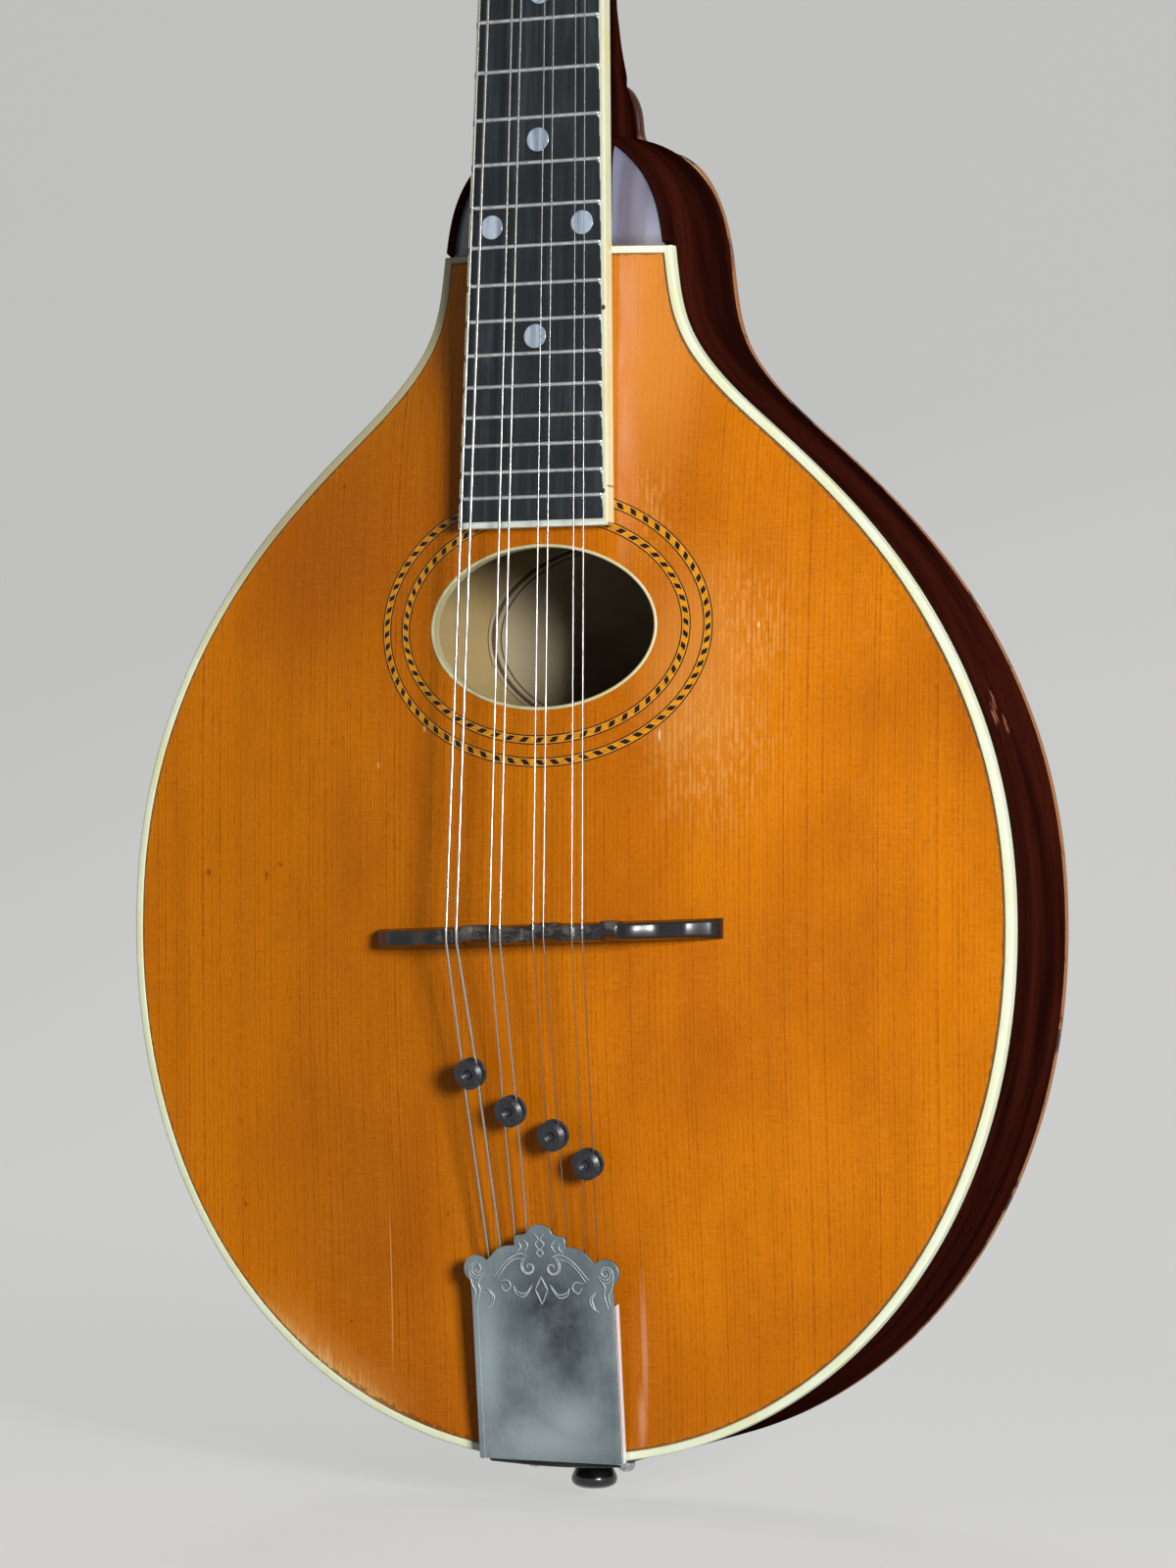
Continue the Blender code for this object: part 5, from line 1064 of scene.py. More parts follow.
def makeLabel():
    # An oval sheet laid on the arch inside the back
    a = np.linspace(0, 2 * math.pi, 96, endpoint=False)
    share = np.array([0.004, 0.25, 0.5, 0.75, 1.0, 1.0, 0.75, 0.5, 0.25, 0.004])[:, None]
    lift = np.array([1, 1, 1, 1, 1, 0, 0, 0, 0, 0])[:, None] * 0.0003
    x = label["centre"][0] + label["size"][0] * np.cos(a) * share
    z = label["centre"][1] + label["size"][1] * np.sin(a) * share
    points = at(x, z, backFace(x, z) + body["wall"] + 0.0002 + lift)
    obj = skin("paper_label", points, "paper", capU=True)
    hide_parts("label")


makeSides()
makeBack()
makeShoulder()
makeLabel()
for name in ("tail_block", "top_brace", "lining_front_bass", "lining_front_treble", "lining_back_bass",
             "lining_back_treble"):
    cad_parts[name].data.materials.clear()
    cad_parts[name].data.materials.append(finishes["raw"])
print("sides and back made")


# Fingerboard, frets, dots, edging and nut

board = dict(scale=0.3524, frets=20, faceAtNut=0.0065, slope=0.0351, wall=0.0050, overhang=0.0079,
             nutWidth=0.0307, jointWidth=0.0390, binding=0.0014, fretWidth=0.00135, fretHeight=0.0009,
             nutLength=0.0045, nutRise=0.0013, dots=(5, 7, 10, 12, 15), dotRadius=0.0031, pairSpread=0.0256)
boardEnd = -board["scale"] * (1 - 2 ** (-board["frets"] / 12)) - board["overhang"]


def boardHalf(height):
    joint = board["jointWidth"] / 2
    return joint + (board["nutWidth"] / 2 - joint) * (height - body["neckLine"]) / -body["neckLine"]


def boardFace(height):
    return board["faceAtNut"] - board["slope"] * height


def fretLine(number):
    return -board["scale"] * (1 - 2 ** (-np.asarray(number, float) / 12))


def makeBoard():
    # A tapering slab whose underside follows the top past the neck joint
    start = boardEnd + board["binding"]
    height = np.linspace(start, -0.0002, 90)
    half = boardHalf(height) - board["binding"] + 0.0001
    top = boardFace(height)
    under = np.where(height < body["neckLine"] - 0.001, topFace(0 * height, height) + 0.0004, top - board["wall"])
    cross = np.array([(-1.0, 0.0), (-0.5, 0.0), (0.0, 0.0), (0.5, 0.0), (1.0, 0.0), (1.0, 1.0), (0.0, 1.0), (-1.0, 1.0)])
    x = half[:, None] * cross[None, :, 0]
    out = top[:, None] * (1 - cross[None, :, 1]) + under[:, None] * cross[None, :, 1]
    obj = skin("board", at(x, height[:, None], out), "board", capU=True)
    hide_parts("fingerboard")


def makeFrets():
    # Each fret is a half-round bar with round ends: radius falls as sqrt(1 - e^2) near each end
    number = np.arange(1, board["frets"] + 1)
    height = fretLine(number)
    half = boardHalf(height) - board["binding"] + 0.0003
    s = np.concatenate([-1 + 0.03 * (1 - np.cos(np.linspace(0.15, math.pi / 2, 6))),
                        np.linspace(-0.94, 0.94, 9),
                        1 - 0.03 * (1 - np.cos(np.linspace(math.pi / 2, 0.15, 6)))])
    size = np.sqrt(np.clip(1 - np.clip((np.abs(s) - 0.955) / 0.045, 0, 0.985) ** 2, 0, 1))
    a = np.linspace(0, math.pi, 9)
    pieces = []
    for k in range(len(number)):
        x = (s * half[k])[:, None]
        up = boardFace(height[k]) - 0.0002 + (board["fretHeight"] * size)[:, None] * np.sin(a)
        along = height[k] + (board["fretWidth"] / 2 * size)[:, None] * np.cos(a)
        pieces.append(skin(f"fret_{k + 1}", at(x, along, up), "fret", capU=True))
    merged("frets", pieces)


def makeDots():
    # Flush pearl discs, a pair at the twelfth fret
    places = []
    for number in board["dots"]:
        height = float((fretLine(number) + fretLine(number - 1)) / 2)
        spread = (-board["pairSpread"] / 2, board["pairSpread"] / 2) if number == 12 else (0.0,)
        places += [(x, height) for x in spread]
    profile = [(0.0, 0.00008), (board["dotRadius"] - 0.0001, 0.00008), (board["dotRadius"], 0.0), (board["dotRadius"], -0.001),
               (0.0, -0.001)]
    pieces = []
    for k, (x, height) in enumerate(places):
        spin = turnedPoints(profile, 40)
        points = at(x + spin[..., 0], height + spin[..., 1], boardFace(height + spin[..., 1]) + spin[..., 2])
        pieces.append(skin(f"dot_{k + 1}", points, "pearl", capU=True))
    merged("position_dots", pieces)


def makeBoardEdging():
    # A strip with a softened section carried down one side, across the end and up the other
    wide, deep = board["binding"], board["wall"] - 0.0006
    section = softCorners([(0.0, 0.0), (1.0, 0.0), (1.0, -1.0), (0.0, -1.0)], 0.16, 4, closed=True)
    run = np.linspace(0, 1, 60)
    heights = np.concatenate([-0.0002 + (boardEnd + 0.0002) * run, boardEnd + (-0.0002 - boardEnd) * run])
    side = np.concatenate([np.full(60, -1.0), np.full(60, 1.0)])
    half = boardHalf(heights)
    inward = section[:, 0] * wide
    atEnd = np.isclose(heights, boardEnd)
    x = side[:, None] * (half[:, None] - inward)
    h = heights[:, None] + np.where(atEnd[:, None], inward, 0.0)
    out = boardFace(h) + section[:, 1] * deep
    obj = skin("board_edging", at(x, h, out), "boardBinding", capU=True)
    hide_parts("fingerboard_binding")


def makeNut():
    # A block with a sloped, rounded top and eight string slots
    half = board["nutWidth"] / 2
    base = boardFace(0.0) - board["wall"] + 0.0003
    top = boardFace(0.0) + board["nutRise"]
    x = np.linspace(-half, half, 161)
    slots = np.array([course + side * strings["pairAtNut"] / 2 for course in strings["atNut"] for side in (-1, 1)])
    dip = 0.0005 * np.exp(-((x[:, None] - slots) / 0.00045) ** 2).sum(axis=1)
    section = softCorners([(0.0, 0.0), (board["nutLength"], 0.0), (board["nutLength"], 0.72), (0.0024, 0.97), (0.0, 1.0)],
                          0.0006, 4, closed=True)
    height = np.broadcast_to(section[:, 0], (161, len(section)))
    lift = base + section[:, 1] * (top - base) - np.where(section[:, 1] > 0.6, 1, 0) * dip[:, None]
    obj = skin("string_nut", at(x[:, None], height, lift), "bone", capU=True)
    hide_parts("nut")


strings = dict(radii=(0.00045, 0.00032, 0.00021, 0.00017), thinness=0.86, atNut=(-0.0124, -0.0045, 0.0033, 0.0111),
               atBridge=(-0.0189, -0.0066, 0.00565, 0.0165), atHooks=(-0.01225, -0.00525, 0.0052, 0.0132),
               pairAtNut=0.0024, pairAtBridge=0.0029, pairAtHooks=0.0036, bridgeHeight=0.0240, hookHeight=0.0044,
               hookRadius=0.0004, hookInset=0.0320, turns=1.5, seat=0.0003, turnGap=0.00035,
               names=("g", "d", "a", "e"))
makeBoard()
makeFrets()
makeDots()
makeBoardEdging()
makeNut()
print("fingerboard made")


# Neck, headstock and veneer

neck = dict(inset=0.0009, depthAtNut=0.0142, footAtNut=0.0142, straight=0.0400, tenon=0.0080,
            foot=((0.0196, 1.00, 0.30), (0.0141, 0.97, 0.30), (0.0072, 0.82, 0.32), (0.0036, 0.62, 0.34),
                  (0.0012, 0.50, 0.36)),
            curve=((0.0008, 0.0012, 0.0045, 0.42), (0.0030, 0.0046, 0.0061, 0.52), (0.0062, 0.0090, 0.0078, 0.60),
                   (0.0105, 0.0138, 0.0096, 0.66), (0.0150, 0.0176, 0.0109, 0.72), (0.0205, 0.0206, 0.0125, 0.78),
                   (0.0290, 0.0232, 0.0144, 0.84), (0.0450, 0.0246, 0.0152, 0.88)))
head = dict(pitch=math.radians(15.0), length=0.1520, wall=0.0142, veneer=0.0014, waist=0.0340, lower=0.0600,
            upper=0.0680)


def makeNeck():
    # A flat top and a rounded, tapering underside: (half + (foot - half) sag) cos^p, top - depth sin^p
    tip = body["neckLine"] + body["buttonReach"]
    root = body["buttonWidth"] / 2
    floor = body["rimDepth"] - body["wall"] - body["seat"]
    stations = [(body["neckLine"] + neck["tenon"], floor, root * 0.96, 0.30)]
    stations += [(tip - drop, floor, root * share, power) for drop, share, power in neck["foot"]]
    stations += [(tip + rise, floor - lift, foot, power) for rise, lift, foot, power in neck["curve"]]
    stations += [(-neck["straight"], neck["depthAtNut"], neck["footAtNut"] + 0.0008, 0.90),
                 (board["nutLength"], neck["depthAtNut"] - 0.0003, neck["footAtNut"], 0.92)]
    rows = flowing(stations, 200)
    height, bottom, foot, power = (rows[:, k:k + 1] for k in range(4))
    a = np.linspace(0, math.pi, 49)[None, :]
    half = boardHalf(height) - neck["inset"]
    top = boardFace(height) - board["wall"] - body["seat"]
    sag = np.abs(np.sin(a)) ** power
    side = np.sign(np.cos(a)) * np.abs(np.cos(a)) ** power
    across = (half + (foot - half) * sag) * side
    obj = skin("neck_shaft", at(across, height, top - (top + bottom) * sag), "neck", capU=True,
               sharp=50.0)
    return obj


def headFrame():
    # The headstock's own axes: X across, Y up its length, Z out of its face
    base = boardFace(0.0) - board["wall"] - body["seat"]
    sine, cosine = math.sin(head["pitch"]), math.cos(head["pitch"])
    turn = Matrix(((1, 0, 0), (0, sine, -cosine), (0, cosine, sine)))
    return Matrix.Translation((0.0, -base, board["nutLength"])) @ turn.to_4x4()


def headOutline(trim):
    waist, lower, upper = head["waist"] / 2 - trim, head["lower"] / 2 - trim, head["upper"] / 2 - trim
    top = head["length"] - trim
    side = [(waist, 0.0), (waist + 0.0008, 0.006), (waist + 0.0040, 0.0135), (lower - 0.0045, 0.0220),
            (lower - 0.0008, 0.0300), (lower, 0.0380), (upper - 0.0010, 0.1080), (upper, top - 0.0260)]
    corner = 0.012
    side += [(upper - corner + corner * math.cos(math.radians(a)),
              top - 0.0165 + corner * math.sin(math.radians(a))) for a in (5, 35, 65)]
    side += [(upper * 0.36, top - 0.0012)]
    return np.array(side + [(0.0, top)] + [(-x, y) for x, y in reversed(side)])


def slab(name, outline, low, high, edge, place, finish, rideOn="root"):
    # A flat outline given a thickness, with softened edges; the loop shrinks along its normals by each inset
    outline = softCorners(outline, 0.004, 6, closed=True)
    ahead = np.roll(outline, -1, axis=0) - np.roll(outline, 1, axis=0)
    ahead /= np.maximum(np.linalg.norm(ahead, axis=1, keepdims=True), 1e-9)
    outward = np.stack([ahead[:, 1], -ahead[:, 0]], axis=-1)
    section = softCorners([(edge * 1.5, low), (0.0, low), (0.0, high), (edge * 1.5, high)], edge, 5)
    rings = [np.concatenate([outline - outward * inset, np.full((len(outline), 1), level)], axis=1)
             for inset, level in section]
    return skin(name, moved(np.stack(rings), place), finish, capU=True, rideOn=rideOn)


headPlace = headFrame()
blank = slab("headstock_blank", headOutline(0.0), -head["wall"], -0.0003, 0.0012, headPlace, "neck")
neckPiece = merged("neck_and_head", [makeNeck(), blank])
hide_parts("neck")
veneer = slab("head_veneer", headOutline(0.0004), 0.0, head["veneer"], 0.0004, headPlace, "veneer")
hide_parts("headstock_veneer")
print("neck made")


# Bridge

bridge = dict(line=-0.3524 - 0.0016, length=0.0966, wall=0.0052, topWall=0.0034, shift=0.0016,
              turn=math.radians(1.9), saddle=0.0250, foot=0.0042,
              falls=((0.06, 0.0, 0.02), (0.44, 0.10, 0.46), (0.12, 0.40, 0.78), (0.38, 0.68, 1.0)))


def soft(value, start, end):
    # Rises smoothly from 0 at start to 1 at end: 3 t^2 - 2 t^3
    t = np.clip((value - start) / (end - start), 0, 1)
    return t * t * (3 - 2 * t)


def makeBridge():
    # A section (along, lift) carried across. The face is level under the strings, then falls in two soft steps
    # to thin feet, and small notches and steps are cut in the saddle.
    half, saddle = bridge["length"] / 2, bridge["saddle"]
    s = np.linspace(-half, half, 241)
    middle = bridge["line"] + s * math.tan(bridge["turn"])
    x = s + bridge["shift"]
    foot = topFace(x, middle)
    level = strings["bridgeHeight"] - strings["radii"][0] - 0.0003
    away = np.clip((np.abs(s) - saddle) / (half - saddle), 0, 1)
    low = foot + bridge["foot"]
    fall = 1 - sum(part * soft(away, start, end) for part, start, end in bridge["falls"])
    face = np.where(away > 0, low + (level - low) * fall, level)
    face = face - 0.0016 * np.clip((away - 0.93) / 0.07, 0, 1) ** 2
    slots = np.array([course + side * strings["pairAtBridge"] / 2 for course in strings["atBridge"] for side in (-1, 1)])
    notch = 0.0004 * np.exp(-((x[:, None] - slots) / 0.0005) ** 2).sum(axis=1)
    steps = 0.0008 * (np.sin(s / 0.0031) > 0.35) * (away == 0)
    face = face - 0.0004 * (np.sin(s / 0.0023 + 1.0) > 0.5) * (away == 0)
    section = softCorners([(-0.5, 0.0), (0.5, 0.0), (0.5, 0.55), (0.36, 1.0), (-0.36, 1.0), (-0.5, 0.55)], 0.10, 4, True)
    along = middle[:, None] + section[:, 0] * bridge["wall"]
    along = along + np.where(section[:, 1] > 0.8, 1, 0) * steps[:, None]
    base = topFace(x[:, None], along) - 0.0001
    lift = base + section[:, 1] * (face[:, None] - base) - np.where(section[:, 1] > 0.9, 1, 0) * notch[:, None]
    obj = skin("bridge_piece", at(x[:, None], along, lift), "bridge", capU=True, sharp=45.0)
    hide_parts("bridge")


makeBridge()
print("bridge made")


# Strings and their rubber grommets

grommets = dict(radius=0.0040, wall=0.0046, groove=0.0012, shares=(0.478, 0.605, 0.685, 0.780), crest=0.0619)
tuners = dict(spacing=0.0230, first=0.0400, side=0.0185, postRadius=0.0029, postHeight=0.0130, sheet=0.0012,
              teeth=14, pitch=0.00423, gearWall=0.0024, wormPitch=0.0022, wormLength=0.0057, shaft=0.0014,
              reach=0.0170, buttonWidth=0.0130, buttonHeight=0.0100, buttonWall=0.0065, lug=0.0014, wormRoot=0.00165)
plateTop = -head["wall"] - body["seat"]
gearTop = plateTop - tuners["sheet"] - strings["turnGap"]
wormLift = gearTop - tuners["gearWall"] / 2
wormOffset = tuners["pitch"] + tuners["wormPitch"]
hookLine = tailLine + strings["hookInset"]


def lineHeight(height):
    nutLevel = boardFace(0.0) + board["nutRise"] + strings["seat"] + 0.0003
    return np.interp(height, [hookLine, bridge["line"], 0.0], [strings["hookHeight"], strings["bridgeHeight"], nutLevel])


def grommetPlace(course):
    height = bridge["line"] - grommets["shares"][course] * (bridge["line"] - tailLine - grommets["crest"])
    share = (bridge["line"] - height) / (bridge["line"] - hookLine)
    across = strings["atBridge"][course] + (strings["atHooks"][course] - strings["atBridge"][course]) * share
    return across, height, float(lineHeight(height))


def makeString(course, which):
    # From its hook past the grommet, over bridge and nut, then a helix down its post
    sign = -1 if which == 1 else 1
    radius = strings["radii"][course]
    hookX = strings["atHooks"][course] + sign * strings["pairAtHooks"] / 2
    bridgeX = strings["atBridge"][course] + sign * strings["pairAtBridge"] / 2
    nutX = strings["atNut"][course] + sign * strings["pairAtNut"] / 2
    loop = strings["hookRadius"] + radius + strings["seat"]
    a = np.radians(np.linspace(0, -180, 19))
    bend = at(hookX + loop * np.cos(a), hookLine + loop * np.sin(a), strings["hookHeight"])
    begin = at(hookX + loop, hookLine + 0.0024, strings["hookHeight"])[None]
    joint = hookLine + 0.0060
    place, height, lift = grommetPlace(course)
    aside = place + sign * (grommets["groove"] + radius + strings["turnGap"])
    crossing = bridge["line"] + bridgeX * math.tan(bridge["turn"])
    over = boardFace(0.0) + board["nutRise"] + strings["seat"] + radius
    marks = [at(hookX - 0.0003, joint, float(lineHeight(joint)))]
    marks += [at(aside, height + step_, float(lineHeight(height + step_))) for step_ in (-0.0012, 0.0012)]
    marks += [at(bridgeX, crossing - 0.0012, strings["bridgeHeight"] - 0.0001),
              at(bridgeX, crossing + 0.0012, strings["bridgeHeight"]), at(nutX, 0.0005, over),
              at(nutX, board["nutLength"] * 0.6, over)]
    side = -1 if course < 2 else 1
    outermost = which == (1 if side < 0 else 2)
    number = (0 if course in (0, 3) else 2) + (0 if outermost else 1)
    alongHead = tuners["first"] + number * tuners["spacing"]
    wrap = tuners["postRadius"] + radius + strings["turnGap"]
    climb = 2 * radius + 0.0005
    t = np.linspace(0, strings["turns"], int(strings["turns"] * 40) + 1)
    first = math.pi if side > 0 else 0.0
    turn = first - side * 2 * math.pi * t
    helix = np.stack([side * tuners["side"] + wrap * np.cos(turn), alongHead + wrap * np.sin(turn),
                      0.0095 - climb * t], axis=-1)
    entry = np.array([[side * tuners["side"] + wrap * math.cos(first), alongHead - 0.0010, 0.0095]])
    winding = moved(np.concatenate([entry, helix]), headPlace)
    straight = softCorners(np.concatenate([begin, bend, np.array(marks), winding[:1]]), 0.0006, 4)
    path = np.concatenate([straight, winding[1:]])
    name = f"{strings['names'][course]}{which}"
    wound = course < 2
    obj = tube(f"wire_{name}", path, radius * strings["thinness"], 12, "wound" if wound else "plain")
    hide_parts(f"string_{name}")


def makeGrommet(course):
    # Two round flanges and a groove, with a dimple in the outer face, turned and then tilted with the strings
    across, height, lift = grommetPlace(course)
    half, rim = grommets["wall"] / 2, grommets["radius"]
    groove = strings["radii"][0] + 0.0006
    outer = [(0.0, half - 0.0011), (0.0008, half - 0.0010), (0.0014, half - 0.0002), (0.0024, half), (rim - 0.0012, half - 0.0001),
             (rim, half - 0.0010), (rim, groove + 0.0003), (rim - 0.0006, groove), (grommets["groove"], groove - 0.0001)]
    profile = np.array(outer + [(r, -h) for r, h in reversed(outer[1:])] + [(0.0, -half + 0.0010)])
    profile = softCorners(profile, 0.0004, 4)
    rise = math.atan((strings["bridgeHeight"] - strings["hookHeight"]) / (bridge["line"] - hookLine))
    place = Matrix.Translation(Vector(at(across, height, lift))) @ Matrix.Rotation(math.radians(90) + rise, 4, "X")
    name = f"grommet_{strings['names'][course]}"
    obj = skin(f"rubber_{name}", moved(turnedPoints(profile, 56), place), "rubber", capU=True, sharp=60.0)
    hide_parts(name)


for course in range(4):
    makeGrommet(course)
    makeString(course, 1)
    makeString(course, 2)
print("strings made")


# Tailpiece, screws and end pin

tailpiece = dict(width=0.0402, sheet=0.0008, flange=0.0033, lift=0.0042, slope=0.1180, inset=0.0008,
                 side=0.0418, crest=0.0204, line=0.00021, baseSlope=0.0650, baseLength=0.0360, rails=(0.0030, 0.0315),
                 legWidth=0.0340, legDepth=0.0320, bend=0.0016, hookTall=0.0018)
screws = dict(side=0.0130, depth=0.0150, head=0.0025, tall=0.0026, shank=0.0013, length=0.0110)
pin = dict(depth=0.0240, radius=0.0038, length=0.0150, button=0.0062, reach=0.0076)


def sloping(slope):
    # Axes of a plate that rises towards the bridge: X across, Y along it, Z out of its face
    sine, cosine = math.sin(math.atan(slope)), math.cos(math.atan(slope))
    return Matrix(((1, 0, 0), (0, -sine, -cosine), (0, cosine, -sine))).to_4x4()


def coverFrame():
    place = Vector(at(0.0, tailLine + tailpiece["inset"], tailpiece["lift"]))
    return Matrix.Translation(place) @ sloping(tailpiece["slope"])


def tailEdge(across):
    # The body's lower end: bout - length (1 - s^n)^(1/n), s being the share of the half width
    share = np.abs(2 * np.asarray(across) / body["width"]) ** body["squareness"]
    return boutLine - body["boutLength"] * (1 - share) ** (1 / body["squareness"])


def tailAngle(across):
    share, n = abs(2 * across / body["width"]), body["squareness"]
    bend = (1 - share**n) ** (1 / n - 1) * share ** (n - 1)
    return math.copysign(math.atan(2 * body["boutLength"] / body["width"] * bend), across)


def arcPoints(centre, radius, start, end, count):
    a = np.radians(np.linspace(start, end, count))
    return np.stack([centre[0] + radius * np.cos(a), centre[1] + radius * np.sin(a)], axis=-1)


def coverOutline():
    # Straight sides, a round ear, a shoulder arc, a knob and a small dome, mirrored
    half, run = tailpiece["width"] / 2, tailpiece["side"]
    side = np.concatenate([
        [(half, 0.0), (half, run)],
        arcPoints((half - 0.0018, run + 0.0081), 0.0037, -58, 140, 22),
        arcPoints((0.0083, run + 0.0073), 0.0073, 36, 96, 12),
        arcPoints((0.0056, run + 0.0157), 0.0018, -25, 105, 8),
        arcPoints((0.0, run + 0.0163), 0.0041, 22, 84, 8)])
    other = side[::-1] * np.array([-1.0, 1.0])
    return np.concatenate([side, [(0.0, run + tailpiece["crest"])], other])


def makeCover():
    # A thin plate with softened edges and a bent flange down each side
    place = coverFrame()
    outline = coverOutline()
    ahead = np.roll(outline, -1, axis=0) - np.roll(outline, 1, axis=0)
    ahead /= np.maximum(np.linalg.norm(ahead, axis=1, keepdims=True), 1e-9)
    outward = np.stack([ahead[:, 1], -ahead[:, 0]], axis=-1)
    sheet = tailpiece["sheet"]
    section = softCorners([(0.0006, -sheet), (0.0, -sheet), (0.0, 0.0), (0.0006, 0.0)], 0.0003, 4)
    rings = [np.concatenate([outline - outward * inset, np.full((len(outline), 1), level)], axis=1)
             for inset, level in section]
    pieces = [skin("cover_plate", moved(np.stack(rings), place), "nickel", capU=True,
                   rideOn="tailpiece_cover")]
    half, run = tailpiece["width"] / 2, tailpiece["side"]
    for sign in (-1, 1):
        bent = softCorners([(half - 0.0016, 0.00002), (half + 0.00003, 0.00002), (half + 0.00003, -tailpiece["flange"])],
                           0.0012, 8)
        inside = bent - np.array([sheet, 0.0])
        inside[:, 1] = np.minimum(inside[:, 1], -sheet * 0.9)
        loop = np.concatenate([bent, inside[::-1]])
        heights = np.linspace(-0.00003, run - 0.0004, 12)
        grid = np.stack([np.broadcast_to(sign * loop[:, 0], (12, len(loop))),
                         np.broadcast_to(heights[:, None], (12, len(loop))),
                         np.broadcast_to(loop[:, 1], (12, len(loop)))], axis=-1)
        pieces.append(skin(f"cover_flange_{sign + 1}", moved(grid, place), "flange", capU=True,
                           rideOn="tailpiece_cover"))
    obj = merged("cover", pieces)
    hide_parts("tailpiece_cover")


def spiral(centre, start, turns, radius, inner, sign, count=60):
    # r falls from radius to inner while the angle runs on from start
    t = np.linspace(0, 1, count)
    a = math.radians(start) + sign * 2 * math.pi * turns * t
    r = radius + (inner - radius) * t ** 0.8
    return np.stack([centre[0] + r * np.cos(a), centre[1] + r * np.sin(a)], axis=-1)


def makeEngraving():
    # A plain scroll ornament as thin bright cuts. Each row is a flowing line in millimetres from the point where
    # the ears begin, and the same again mirrored; curls are spirals.
    half, run = tailpiece["width"] / 2, tailpiece["side"]
    ear = np.array([half - 0.0018, run + 0.0081])
    rows = [[(16.0, 7.2), (17.9, 4.6), (17.6, 2.4), (18.6, -1.2)], [(20.6, 7.6), (19.8, 4.2), (18.9, 2.2), (19.2, -0.4)],
            [(15.6, 3.2), (14.2, 1.2), (14.8, -1.2), (15.9, -2.2)], [(14.9, 2.9), (13.6, 1.0), (14.2, -1.0), (15.4, -1.9)],
            [(3.4, 11.9), (6.0, 12.5), (9.6, 10.4), (13.4, 6.2)], [(4.6, 11.2), (7.4, 11.0), (10.2, 8.8), (12.6, 5.6)],
            [(11.8, 5.2), (9.6, 5.4), (8.8, 3.8), (10.4, 2.6), (11.6, 4.2)],
            [(2.5, 4.6), (4.6, 2.2), (7.0, 2.6), (8.0, 4.0)], [(2.7, 3.9), (4.8, 1.4), (7.2, 1.9), (8.0, 4.0)],
            [(0.0, 6.7), (1.7, 3.2)], [(1.7, 3.2), (0.0, -0.6)],
            [(0.0, 13.4), (1.2, 15.2), (0.3, 16.4), (1.5, 18.0)], [(4.2, 13.2), (3.4, 14.8), (4.4, 16.2)],
            [(6.6, 12.9), (5.4, 14.2), (5.9, 15.6)], [(0.0, 11.8), (0.9, 12.9), (0.0, 13.9)]]
    lines = [spiral(ear, 250, 1.30, 0.0027, 0.0005, 1), spiral(ear, 200, 0.85, 0.0020, 0.0009, 1),
             spiral((0.0033, run + 0.0090), 75, 1.25, 0.0028, 0.0004, -1),
             spiral((0.0033, run + 0.0090), 60, 0.70, 0.0022, 0.0010, -1)]
    lines += [flowing(np.array(row) / 1000 + np.array([0.0, run]), 8 * len(row)) for row in rows]
    place = coverFrame()
    normal = tuple(place.to_3x3() @ Vector((0, 0, 1)))
    pieces, shades = [], []
    for sign in (-1, 1):
        for k, line in enumerate(lines):
            flat = np.concatenate([line * np.array([sign, 1.0]), np.full((len(line), 1), 0.00002)], axis=1)
            width = tailpiece["line"] * np.sin(np.linspace(0.25, math.pi - 0.25, len(line))) ** 0.5
            pieces.append(tube(f"cut_{sign + 1}_{k}", moved(flat, place), width, 6, "engraving",
                               reference=normal, rideOn="tailpiece_cover"))
            shade = flat + np.array([-0.00022, -0.00012, -0.00008])
            shades.append(tube(f"shade_{sign + 1}_{k}", moved(shade, place), width, 6, "engravingShade",
                               reference=normal, rideOn="tailpiece_cover"))
    merged("cover_engraving", pieces)
    merged("cover_engraving_shade", shades)


